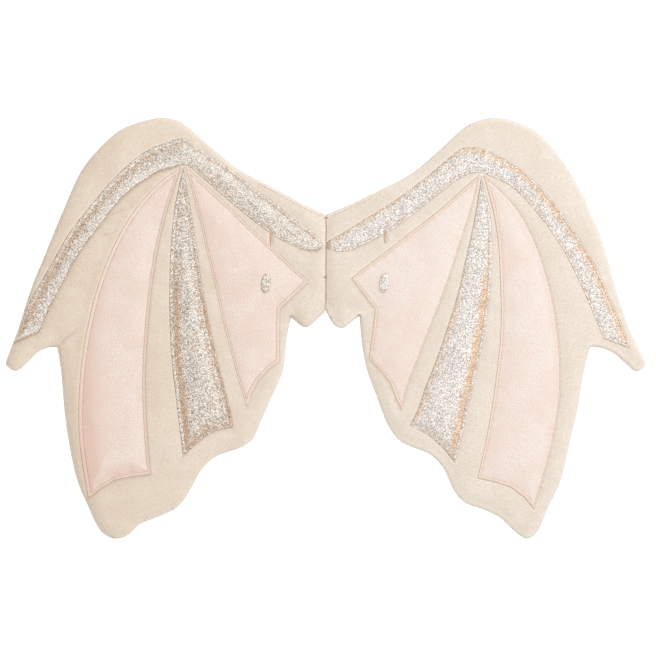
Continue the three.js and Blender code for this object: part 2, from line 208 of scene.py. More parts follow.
class SewnEdge:
    """The closed edge of a cut piece, seen from above."""

    SHORTEST = 0.2  # Shortest step that is kept, as a share of the spacing
    SLACK = 0.02  # How much nearer the edge a row may run than its inset, as a share

    def __init__(self, marks: np.ndarray, corner_turn: float = 32.0) -> None:
        """Keeps the marks counter-clockwise and finds the corners among them.

        Args:
            marks: Marks on the edge, in order.
            corner_turn: Turn in degrees from which a mark is a corner.
        """
        after = np.roll(marks, -1, axis=0)
        swept = float(np.sum(marks[:, 0] * after[:, 1] - after[:, 0] * marks[:, 1]))
        self.marks = marks if swept > 0 else marks[::-1].copy()
        self.area = abs(swept) / 2
        going = np.roll(self.marks, -1, axis=0) - self.marks
        coming = np.roll(going, 1, axis=0)
        cross = coming[:, 0] * going[:, 1] - coming[:, 1] * going[:, 0]
        turn = np.degrees(np.abs(np.arctan2(cross, np.sum(coming * going, axis=1))))
        self.corners = np.flatnonzero(turn > corner_turn)
        self.fine = self.sampled(OUTLINE_STEP)
        self.low, self.high = self.fine.min(axis=0), self.fine.max(axis=0)
        self.along = np.roll(self.fine, -1, axis=0) - self.fine
        self.length = np.linalg.norm(self.along, axis=1)
        self.arc = np.concatenate([[0.0], np.cumsum(self.length)[:-1]])
        self.tree = KDTree(len(self.fine))
        for index, (x, y) in enumerate(self.fine):
            self.tree.insert((x, y, 0.0), index)
        self.tree.balance()

    def sampled(self, spacing: float) -> np.ndarray:
        """Points on the smooth edge, with its corners kept.

        Args:
            spacing: Distance wanted between points.

        Returns:
            The points of the closed loop.
        """
        corners = list(self.corners) or [0]
        runs = []
        for start, end in zip(corners, corners[1:] + [corners[0] + len(self.marks)]):
            run = self.marks[np.arange(start, end + 1) % len(self.marks)]
            runs.append(catmull_run(run, spacing))
        loop = np.vstack(runs)
        steps = np.linalg.norm(np.roll(loop, -1, axis=0) - loop, axis=1)
        return loop[steps > self.SHORTEST * spacing]

    def inward(self, loop: np.ndarray) -> np.ndarray:
        """Unit directions into the piece at each point of a loop.

        Args:
            loop: Points of the closed loop, counter-clockwise.

        Returns:
            One direction for each point.
        """
        along = np.roll(loop, -1, axis=0) - np.roll(loop, 1, axis=0)
        along /= np.linalg.norm(along, axis=1)[:, None] + 1e-12
        return np.column_stack([-along[:, 1], along[:, 0]])

    def measure(self, points: np.ndarray) -> Spots:
        """Finds how far inside the edge points lie, and beside which place.

        Args:
            points: The points, one row each.

        Returns:
            How the points lie to the edge.
        """
        nearest = np.array([self.tree.find((x, y, 0.0))[1] for x, y in points], dtype=int)
        loop, along, length = self.fine, self.along, self.length
        feet = []
        for k in (nearest, (nearest - 1) % len(loop)):
            rel = points - loop[k]
            share = unit(np.sum(rel * along[k], axis=1) / length[k] ** 2)
            away = rel - share[:, None] * along[k]
            feet.append((k, share, away, np.linalg.norm(away, axis=1)))
        second = (feet[1][3] < feet[0][3])[:, None]
        seg = np.where(second[:, 0], feet[1][0], feet[0][0])
        share = np.where(second[:, 0], feet[1][1], feet[0][1])
        away = np.where(second, feet[1][2], feet[0][2])
        outward = np.column_stack([along[:, 1], -along[:, 0]]) / length[:, None]
        mean = outward + np.roll(outward, 1, axis=0)
        at_mark = ((share < 1e-6) | (share > 1 - 1e-6))[:, None]
        mark = (seg + (share > 0.5)) % len(loop)
        facing = np.where(at_mark, mean[mark], outward[seg])
        facing = facing / (np.linalg.norm(facing, axis=1)[:, None] + 1e-12)
        beyond = np.sum(away * facing, axis=1) > 0
        far = np.linalg.norm(away, axis=1)
        place = self.arc[seg] + share * length[seg]
        return Spots(np.where(beyond, -far, far), place, facing, points[:, 1])

    def row(self, inset: float, spacing: float) -> np.ndarray:
        """Points of a row that runs inside the edge.

        Args:
            inset: Distance from the edge, below zero for a row outside it.
            spacing: Distance wanted between points.

        Returns:
            The points in order, without those that a tip leaves too near its sides.
        """
        loop = self.sampled(spacing)
        moved = loop + self.inward(loop) * inset
        return moved[self.measure(moved).depth >= inset - self.SLACK * abs(inset)]

    def lattice(self, step: float, inset: float) -> np.ndarray:
        """Staggered rows of points over the inside of the edge.

        Args:
            step: Distance between neighbours.
            inset: Least distance from the edge.

        Returns:
            The points.
        """
        rise = step * math.sqrt(3) / 2
        ys = np.arange(self.low[1], self.high[1], rise)
        rows = [
            np.column_stack([xs, np.full(len(xs), y)])
            for k, y in enumerate(ys)
            for xs in [np.arange(self.low[0] + (k % 2) * step / 2, self.high[0], step)]
        ]
        points = np.vstack(rows)
        return points[self.measure(points).depth > inset]


@dataclass(frozen=True)
class EdgeTest:
    """Tells the outline of a node from its other edges."""

    least_height: float
    side_walls: bool
    wall_slope: float = 0.01
    top_slope: float = 0.03

    def holds(self, edge: bmesh.types.BMEdge) -> bool:
        """Tells whether an edge is on the outline.

        Args:
            edge: An edge between two faces.

        Returns:
            True on the rim of a pad or along the top of a sheet's side walls.
        """
        slopes = sorted(face.normal.z for face in edge.link_faces)
        high = min(vert.co.z for vert in edge.verts) > self.least_height
        if self.side_walls:
            return high and abs(slopes[0]) < self.wall_slope and slopes[1] > self.top_slope
        return high and slopes[0] < 0.0 < slopes[1]


def edge_of(node: str, is_edge: EdgeTest) -> SewnEdge:
    """Reads the outer edge of a CAD node.

    Args:
        node: The node's name.
        is_edge: Says whether an edge of its merged mesh is on the outline.

    Returns:
        The node's longest closed outline.
    """
    work = bmesh.new()
    work.from_mesh(bpy.data.objects[node].data)
    bmesh.ops.remove_doubles(work, verts=work.verts, dist=MERGE_GAP)
    work.normal_update()
    links: dict[int, list[int]] = {}
    for edge in work.edges:
        if len(edge.link_faces) == 2 and is_edge.holds(edge):
            a, b = (v.index for v in edge.verts)
            links.setdefault(a, []).append(b)
            links.setdefault(b, []).append(a)
    work.verts.ensure_lookup_table()
    loops = []
    while links:
        start = next(iter(links))
        loop, before, at = [], None, start
        while at in links:
            loop.append(at)
            onward = [k for k in links.pop(at) if k != before and k in links]
            before, at = at, (onward[0] if onward else None)
        loops.append(np.array([work.verts[k].co[:2] for k in loop]))
    work.free()
    return SewnEdge(max(loops, key=len))


# Nodes of materials

WAVE_PERIOD = 0.314  # Length in metres of one wave of the texture at a scale of 1


class Bench:
    """Lays out and links the shader nodes of one material."""

    def __init__(self, name: str) -> None:
        """Starts a material with one Principled shader.

        Args:
            name: The material's name.
        """
        self.material = bpy.data.materials.new(name)
        self.material.use_nodes = True
        self.tree = self.material.node_tree
        self.shader = next(n for n in self.tree.nodes if n.type == "BSDF_PRINCIPLED")
        coords = self.add("ShaderNodeTexCoord")
        self.place = coords.outputs["Object"]

    def add(self, kind: str, **settings: object) -> bpy.types.Node:
        """Adds a node.

        Args:
            kind: The node's type.
            settings: Its properties, and its inputs as in_Name or in_0.

        Returns:
            The node.
        """
        node = self.tree.nodes.new(kind)
        for key, value in settings.items():
            if not key.startswith("in_"):
                setattr(node, key, value)
        for key, value in settings.items():
            if key.startswith("in_"):
                label = key[3:].replace("_", " ")
                self.feed(node.inputs[int(label) if label.isdigit() else label], value)
        return node

    def feed(self, socket: bpy.types.NodeSocket, value: object) -> None:
        """Links an output to a socket, or sets the socket's value.

        Args:
            socket: The socket to fill.
            value: An output of another node, or a plain value.
        """
        if isinstance(value, bpy.types.NodeSocket):
            self.tree.links.new(value, socket)
        else:
            socket.default_value = value

    def noise(self, size: float, detail: float = 2.0, warp: float = 0.0) -> bpy.types.NodeSocket:
        """Noise whose blobs have a real size.

        Args:
            size: Size of a blob in metres.
            detail: Octaves of finer noise.
            warp: Distortion of the blobs.

        Returns:
            The noise from 0 to 1.
        """
        node = self.add("ShaderNodeTexNoise", in_Vector=self.place, in_Scale=1 / size,
                        in_Detail=detail, in_Distortion=warp)
        return node.outputs["Fac"]

    def wave(self, pitch: float, across: str, warp: float, detail: float = 2.0
             ) -> bpy.types.NodeSocket:
        """Waves with a real length.

        Args:
            pitch: Length of a wave in metres.
            across: The direction that the waves cross.
            warp: Distortion of the waves.
            detail: Octaves of finer noise in the distortion.

        Returns:
            The waves from 0 to 1.
        """
        node = self.add("ShaderNodeTexWave", in_Vector=self.place, in_Scale=WAVE_PERIOD / pitch,
                        in_Distortion=warp, in_Detail=detail, bands_direction=across)
        return node.outputs["Fac"]

    def mark(self, name: str) -> bpy.types.NodeSocket:
        """Value that a piece's vertices carry under a name."""
        return self.add("ShaderNodeAttribute", attribute_name=name).outputs["Fac"]

    def sum(self, kind: str, first: object, second: object) -> bpy.types.NodeSocket:
        """Result of one step of arithmetic."""
        return self.add("ShaderNodeMath", operation=kind, in_0=first, in_1=second).outputs[0]

    def spread(self, value: object, low: float, high: float, to_low: float = 0.0,
               to_high: float = 1.0) -> bpy.types.NodeSocket:
        """Maps a range smoothly onto another.

        Args:
            value: The value to map.
            low: Start of its range.
            high: End of its range.
            to_low: Start of the new range.
            to_high: End of the new range.

        Returns:
            The mapped value.
        """
        node = self.add("ShaderNodeMapRange", interpolation_type="SMOOTHSTEP")
        for index, item in enumerate((value, low, high, to_low, to_high)):
            self.feed(node.inputs[index], item)
        return node.outputs[0]

    def blend(self, share: object, first: object, second: object) -> bpy.types.NodeSocket:
        """Mixes two colours; the share is how much of the second one shows."""
        node = self.add("ShaderNodeMix", data_type="RGBA", clamp_factor=True, in_0=share,
                        in_6=first, in_7=second)
        return node.outputs[2]

    def coats(self, colour: object, *coats: tuple[object, object]) -> bpy.types.NodeSocket:
        """Lays coats of colour over a first colour.

        Args:
            colour: The first colour.
            coats: Pairs of a share and a colour, the lowest coat first.

        Returns:
            The colour of all of them.
        """
        for share, coat in coats:
            colour = self.blend(share, colour, coat)
        return colour

    def relief(self, heights: list[tuple[bpy.types.NodeSocket, float]]) -> None:
        """Adds fine relief to the surface.

        Args:
            heights: Pairs of a height from 0 to 1 and its real rise in metres.
        """
        normal = None
        for height, rise in heights:
            bump = self.add("ShaderNodeBump", in_Strength=1.0, in_Distance=rise, in_Height=height)
            if normal is not None:
                self.feed(bump.inputs["Normal"], normal)
            normal = bump.outputs[0]
        self.feed(self.shader.inputs["Normal"], normal)

    def finish(self, **values: object) -> bpy.types.Material:
        """Sets the shader's own sockets.

        Args:
            values: Values or sockets by the socket's name.

        Returns:
            The material.
        """
        for key, value in values.items():
            self.feed(self.shader.inputs[key.replace("_", " ")], value)
        return self.material


Colour = tuple[float, float, float, float]


def paint(red: int, green: int, blue: int) -> Colour:
    """Turns a screen colour into a linear one.

    Args:
        red: Red from 0 to 255.
        green: Green from 0 to 255.
        blue: Blue from 0 to 255.

    Returns:
        The colour that the shaders take.
    """
    levels = [value / 255 for value in (red, green, blue)]
    linear = [v / 12.92 if v <= 0.04045 else ((v + 0.055) / 1.055) ** 2.4 for v in levels]
    return linear[0], linear[1], linear[2], 1.0


@dataclass(frozen=True)
class VelourFinish:
    """Short soft nap with cloudy tone, with painted light that makes it a little paler towards the
    right.
    """

    name: str
    base: Colour
    cloud: Colour
    far_base: Colour
    far_cloud: Colour
    # A darker tone for the nap, also painted as shade where the shade mark is; then painted shade
    # on rims that face the key light, painted light, and a painted greyish shadow line on the rim
    dark_tone_and_shade: Colour
    dim: Colour
    lit: Colour
    grey_rim_shade: Colour
    paler_from: float = -0.24
    paler_to: float = 0.1
    cloud_size: float = 34.0 * MM
    brushing: float = 6.0 * MM
    nap: float = 0.8 * MM
    mottle: float = 2.0 * MM
    rib: float = 2.1 * MM

    def material(self) -> bpy.types.Material:
        """Builds the velour.

        Returns:
            The material.
        """
        bench = Bench(self.name)
        clouds = bench.noise(self.cloud_size, detail=4.0, warp=0.6)
        brushed = bench.noise(self.brushing, detail=4.0, warp=1.2)
        mottle = bench.noise(self.mottle, detail=1.0)
        nap = bench.noise(self.nap, detail=2.0)
        ribs = bench.wave(self.rib, "X", 2.5)
        # Painted light: the colour is painted paler towards the right, where the key light falls
        across = bench.add("ShaderNodeSeparateXYZ", in_Vector=bench.place).outputs[0]
        side = bench.spread(across, self.paler_from, self.paler_to)
        cloud = bench.blend(side, self.cloud, self.far_cloud)
        colour = bench.coats(
            bench.blend(side, self.base, self.far_base),
            (bench.spread(clouds, 0.38, 0.66), cloud),
            (bench.spread(brushed, 0.4, 0.68, 0.0, 0.5), cloud),
            (bench.spread(ribs, 0.1, 0.9, 0.0, 0.07), self.dark_tone_and_shade),
            (bench.spread(mottle, 0.36, 0.72, 0.0, 0.14), self.dark_tone_and_shade),
            (bench.spread(nap, 0.36, 0.66, 0.0, 0.28), self.dark_tone_and_shade),
            # Painted shade and painted light from the marks on the wing's vertices
            (bench.mark("shade"), self.dark_tone_and_shade), (bench.mark("dim"), self.dim),
            (bench.mark("lit"), self.lit), (bench.mark("grey_rim_shade"), self.grey_rim_shade))
        bench.relief([(brushed, 0.12 * MM), (mottle, 0.1 * MM), (nap, 0.08 * MM)])
        return bench.finish(Base_Color=colour, Roughness=0.95, Sheen_Weight=0.25,
                            Sheen_Roughness=0.5, Specular_IOR_Level=0.15)


@dataclass(frozen=True)
class LeatherFinish:
    """Matte soft sheet with a fine pebble grain."""

    name: str
    base: Colour
    flush: Colour
    lip_shade: Colour
    dark_tone_and_shade: Colour
    pebble: float = 1.5 * MM
    cloud_size: float = 26.0 * MM
    pore: float = 0.5 * MM

    def material(self) -> bpy.types.Material:
        """Builds the soft sheet.

        Returns:
            The material.
        """
        bench = Bench(self.name)
        grain = bench.add("ShaderNodeTexVoronoi", feature="SMOOTH_F1", in_Vector=bench.place,
                          in_Scale=1 / self.pebble, in_Smoothness=0.35)
        pebble = bench.spread(grain.outputs["Distance"], 0.1, 0.75, 1.0, 0.0)
        clouds = bench.noise(self.cloud_size, detail=3.0, warp=0.4)
        pores = bench.noise(self.pore, detail=2.0)
        colour = bench.coats(
            self.base, (bench.spread(clouds, 0.35, 0.7, 0.0, 0.35), self.flush),
            (bench.spread(pebble, 0.0, 0.6, 0.42, 0.0), self.flush),
            # Painted shade: rose on the sides that face away from the key light, darker outside the
            # stitching, and darker at the stitches and edges. The rose colour also tints the grain
            # and clouds
            (bench.mark("flush"), self.flush), (bench.mark("lip_shade"), self.lip_shade),
            (bench.mark("shade"), self.dark_tone_and_shade))
        bench.relief([(clouds, 0.06 * MM), (pebble, 0.15 * MM), (pores, 0.05 * MM)])
        return bench.finish(Base_Color=colour, Roughness=0.58, Specular_IOR_Level=0.35)


@dataclass(frozen=True)
class GlitterFinish:
    """Cloth coated with bright metallic flakes over a tan base, with painted shade and painted
    highlights.
    """

    name: str
    bright: Colour
    middle: Colour
    deep: Colour
    tan_ground_and_shade: Colour
    ground_deep: Colour
    flake: float = 0.7 * MM
    finer: float = 1.8
    tilt: float = 0.7

    def material(self) -> bpy.types.Material:
        """Builds the glitter cloth.

        Returns:
            The material.
        """
        bench = Bench(self.name)
        flakes = bench.add("ShaderNodeTexVoronoi", in_Vector=bench.place, in_Scale=1 / self.flake)
        small = bench.add("ShaderNodeTexVoronoi", in_Vector=bench.place,
                          in_Scale=self.finer / self.flake)
        parts = bench.add("ShaderNodeSeparateColor", in_Color=flakes.outputs["Color"])
        bits = bench.add("ShaderNodeSeparateColor", in_Color=small.outputs["Color"])
        level = bench.sum("ADD", bench.sum("MULTIPLY", parts.outputs[0], 0.85),
                          bench.sum("MULTIPLY", bits.outputs[0], 0.15))
        tans = bench.blend(bench.spread(level, 0.2, 0.7), self.ground_deep, self.tan_ground_and_shade)
        # Painted shade: the stronger the shade mark, the more flakes are painted in the tan colours
        tan_by_shade = bench.sum("SUBTRACT", bench.mark("shade"), parts.outputs[1])
        colour = bench.coats(
            self.deep, (bench.spread(level, 0.12, 0.4), self.middle),
            # Painted highlight from the gleam mark, and painted shade from the mark after it
            (bench.spread(level, 0.5, 0.78), self.bright), (bench.mark("gleam"), self.bright),
            (bench.mark("flake_shade"), self.deep),
            (bench.spread(parts.outputs[2], 0.55, 0.95, 0.0, 0.35), self.tan_ground_and_shade),
            (bench.spread(tan_by_shade, -0.08, 0.08, 0.0, 0.92), tans))
        tilt = bench.add("ShaderNodeVectorMath", operation="MULTIPLY_ADD",
                         in_0=small.outputs["Color"], in_1=(self.tilt, self.tilt, 0.0),
                         in_2=(-self.tilt / 2, -self.tilt / 2, 0.0))
        facing = bench.add("ShaderNodeNewGeometry").outputs["Normal"]
        leaning = bench.add("ShaderNodeVectorMath", operation="ADD",
                            in_0=facing, in_1=tilt.outputs[0])
        normal = bench.add("ShaderNodeVectorMath", operation="NORMALIZE",
                           in_0=leaning.outputs[0])
        bench.feed(bench.shader.inputs["Normal"], normal.outputs[0])
        return bench.finish(Base_Color=colour, Metallic=0.25, Roughness=0.45)


@dataclass(frozen=True)
class ThreadFinish:
    """Twisted sewing thread."""

    name: str
    base: Colour
    dark: Colour
    twist: float = WAVE_PERIOD / 900
    patch: float = 7.0 * MM

    def material(self) -> bpy.types.Material:
        """Builds the thread.

        Returns:
            The material.
        """
        bench = Bench(self.name)
        tone = bench.noise(self.patch, detail=2.0)
        colour = bench.blend(bench.spread(tone, 0.35, 0.65), self.base, self.dark)
        bench.relief([(bench.wave(self.twist, "DIAGONAL", 1.5), 0.05 * MM)])
        return bench.finish(Base_Color=colour, Roughness=0.7, Sheen_Weight=0.2)


@dataclass(frozen=True)
class ElasticFinish:
    """Woven elastic with lengthwise cords."""

    name: str
    base: Colour
    dark: Colour
    cord: float = 1.3 * MM
    fuzz: float = 0.3 * MM

    def material(self) -> bpy.types.Material:
        """Builds the elastic.

        Returns:
            The material.
        """
        bench = Bench(self.name)
        cords = bench.wave(self.cord, "X", 0.15, detail=0.0)
        picks = bench.wave(0.6 * self.cord, "Y", 0.4)
        fuzz = bench.noise(self.fuzz)
        height = bench.sum("ADD", bench.sum("MULTIPLY", cords, 0.7),
                           bench.sum("MULTIPLY", picks, 0.3))
        # Painted shade: the dips between the cords are painted darker
        colour = bench.blend(bench.spread(height, 0.1, 0.7, 0.8, 0.0), self.base, self.dark)
        bench.relief([(height, 0.22 * MM), (fuzz, 0.05 * MM)])
        return bench.finish(Base_Color=colour, Roughness=0.85, Sheen_Weight=0.15)


@dataclass(frozen=True)
class FloorFinish:
    """Pale seamless paper under the wings, lit a little from below."""

    name: str
    base: Colour
    shade: Colour
    tooth: float = 2.0 * MM
    glow: float = 0.5

    def material(self) -> bpy.types.Material:
        """Builds the paper.

        Returns:
            The material.
        """
        bench = Bench(self.name)
        tooth = bench.noise(self.tooth, detail=3.0)
        colour = bench.blend(bench.spread(tooth, 0.2, 0.8, 0.0, 0.02), self.base, self.shade)
        bench.relief([(tooth, 0.02 * MM)])
        return bench.finish(Base_Color=colour, Roughness=0.9, Specular_IOR_Level=0.1,
                            Emission_Color=(1.0, 1.0, 1.0, 1.0), Emission_Strength=self.glow)


# Meshes


def mesh_at_origin(name: str, points: np.ndarray, faces: list[tuple[int, ...]],
                   material: bpy.types.Material) -> bpy.types.Object:
    """Makes a smooth mesh object at the origin.

    Args:
        name: The object's name.
        points: Corners in metres.
        faces: Corner numbers of each face.
        material: The finish.

    Returns:
        The object.
    """
    mesh = bpy.data.meshes.new(name)
    mesh.from_pydata(points.tolist(), [], faces)
    mesh.update()
    mesh.materials.append(material)
    thing = bpy.data.objects.new(name, mesh)
    bpy.context.scene.collection.objects.link(thing)
    mesh.polygons.foreach_set("use_smooth", [True] * len(mesh.polygons))
    return thing


def primitive(operator: Callable[..., set[str]], name: str, **settings: object
              ) -> bpy.types.Object:
    """Adds a primitive to start from, with nothing else selected.

    Args:
        operator: The operator that adds it.
        name: The object's name.
        settings: The operator's own settings.

    Returns:
        The new object, active and selected all over.
    """
    bpy.ops.object.select_all(action="DESELECT")
    operator(**settings)
    thing = bpy.context.object
    thing.name = thing.data.name = name
    return thing


@contextmanager
def whole_mesh() -> Iterator[None]:
    """Opens the active mesh in edit mode, with all of it selected, while it is shaped.

    Returns:
        The context of a with statement.
    """
    bpy.ops.object.mode_set(mode="EDIT")
    bpy.ops.mesh.select_all(action="SELECT")
    yield
    bpy.ops.object.mode_set(mode="OBJECT")


def modify(thing: bpy.types.Object, kind: str, **settings: object) -> None:
    """Adds a modifier to the active object and applies it.

    Args:
        thing: The active object.
        kind: The modifier's type.
        settings: The modifier's own settings.
    """
    modifier = thing.modifiers.new(kind.lower(), kind)
    for key, value in settings.items():
        setattr(modifier, key, value)
    bpy.ops.object.modifier_apply(modifier=modifier.name)


def only(thing: bpy.types.Object) -> None:
    """Selects one object and makes it the active one.

    Args:
        thing: The object.
    """
    bpy.ops.object.select_all(action="DESELECT")
    thing.select_set(True)
    bpy.context.view_layer.objects.active = thing


def corners_of(mesh: bpy.types.Mesh) -> np.ndarray:
    """Reads the corners of a mesh.

    Args:
        mesh: The mesh.

    Returns:
        Its corners, one row each.
    """
    values = np.empty(len(mesh.vertices) * 3)
    mesh.vertices.foreach_get("co", values)
    return values.reshape(-1, 3)


def mark_vertices(thing: bpy.types.Object, name: str, values: np.ndarray) -> None:
    """Stores one value for each corner under a name."""
    layer = thing.data.attributes.new(name, "FLOAT", "POINT")
    layer.data.foreach_set("value", values.astype(np.float32))


def tiled(edge: SewnEdge, rim: np.ndarray, inner: np.ndarray
          ) -> tuple[np.ndarray, list[tuple[int, ...]]]:
    """Fills an edge with even triangles.

    Args:
        edge: The edge, for its sense of inside.
        rim: Points on the edge, in order.
        inner: Points inside it.

    Returns:
        All the points, the rim's first, and the triangles.
    """
    points = np.vstack([rim, inner])
    ring = [(i, (i + 1) % len(rim)) for i in range(len(rim))]
    coords = [Vector(p) for p in points]
    out, _, faces, origins, _, _ = delaunay_2d_cdt(
        coords, ring, [list(range(len(rim)))], 1, 1e-7, True)
    if len(out) != len(points):
        LOG.warning("an edge of %d points came back with %d", len(points), len(out))
    order = {k: origin[0] for k, origin in enumerate(origins) if origin}
    corners = np.array([[order[k] for k in face] for face in faces
                        if all(k in order for k in face)])
    inside = edge.measure(points[corners].mean(axis=1)).depth > 0
    return points, [tuple(int(k) for k in face) for face in corners[inside]]


@dataclass(frozen=True)
class Ripple:
    """Uneven waves along a seam, with their rise, mean length and reach in millimetres."""

    rise: float
    pitch: float
    reach: float
    inside: float = 0.0

    def height(self, place: np.ndarray, depth: np.ndarray, seed: float) -> np.ndarray:
        """Height of the waves in metres.

        Args:
            place: Arc length along the seam.
            depth: Distance from the seam.
            seed: Shifts the pattern.

        Returns:
            The height at each place.
        """
        turns = 2 * math.pi * place / (self.pitch * MM)
        waves = (np.sin(turns + seed) + 0.7 * np.sin(1.73 * turns + 2.1 * seed)
                 + 0.5 * np.sin(2.61 * turns + 3.7 * seed)) / 2.2
        return self.rise * MM * waves * bell(depth - self.inside * MM, self.reach * MM)


RIM_RIPPLE = Ripple(0.22, 13.0, 4.0, inside=3.0)
PUCKER = Ripple(0.08, 5.5, 3.5)
GATHER = Ripple(0.15, 17.0, 8.0)


@dataclass(frozen=True)
class Band:
    """A band of painted light and shade along an edge, in millimetres from it, below zero outside
    it.
    """

    inside: float
    width: float
    share: float = 1.0

    def at(self, depth: np.ndarray) -> np.ndarray:
        """How strong the band is at each distance from the edge."""
        return self.share * bell(depth - self.inside * MM, self.width * MM)


@dataclass(frozen=True)
class Tone:
    """A band of painted shade along the sides of a piece that face one way; among the gleam tones
    it is a painted highlight.

    The direction is in degrees, 0 to the right and 90 up. The place and the width of the
    band are millimetres from the piece's edge, below zero outside it. The band fades out
    towards its top, a place up the wing in metres.
    """

    towards: float
    inside: float
    width: float
    share: float
    top: float = 1.0
    fade: float = 45.0 * MM

    def at(self, spots: Spots) -> np.ndarray:
        """Measures how strong the band is.

        Args:
            spots: Places on or beside the piece.

        Returns:
            A share from 0 to 1 for each spot.
        """
        turned = unit(2.0 * spots.facing @ way(self.towards) - 0.8)
        turned *= unit((self.top - spots.height) / self.fade)
        return self.share * turned * bell(spots.depth - self.inside * MM, self.width * MM)


@dataclass(frozen=True)
class Hem:
    """Where the stitching of a piece runs, in millimetres from its edge.

    It lies deeper by the lean on the sides that face one way, and shallower on the others.
    """

    inset: float
    lean: float = 0.0
    towards: float = 0.0

    def at(self, facing: np.ndarray) -> np.ndarray:
        """The inset in metres for each outward direction of the edge."""
        return (self.inset + self.lean * np.clip(facing @ way(self.towards), -1.0, 1.0)) * MM


@dataclass(frozen=True)
class Shading:
    """The painted shade and painted highlights of one sewn-on piece, and the painted shadow on the
    velour beside it.
    """

    hem: Hem
    edge: tuple[Tone, ...] = ()
    beside: tuple[Tone, ...] = ()
    tan_ground_and_shade: tuple[Tone, ...] = ()
    gleam: tuple[Tone, ...] = ()
    flake_shade: tuple[Tone, ...] = ()
    flush: tuple[Tone, ...] = ()

    @staticmethod
    def total(tones: tuple[Tone, ...], spots: Spots) -> np.ndarray:
        """Adds up some of the tones at each spot."""
        return sum((tone.at(spots) for tone in tones), np.zeros(len(spots.depth)))


# Bands of painted shade at the edges of the pieces and the wings, and of painted light beside the
# pieces
OUTLINE = Band(0.0, 0.45, 0.1)
RIM_LINE = Band(0.0, 0.7)
RIM_GREY = Band(0.0, 0.65, 0.4)
GROOVE_LINE = Band(0.0, 1.1, 0.06)
LIT_GROOVE = Band(-0.8, 0.7, 0.5)
TOP_GROOVE = Band(-0.4, 0.6, 0.28)

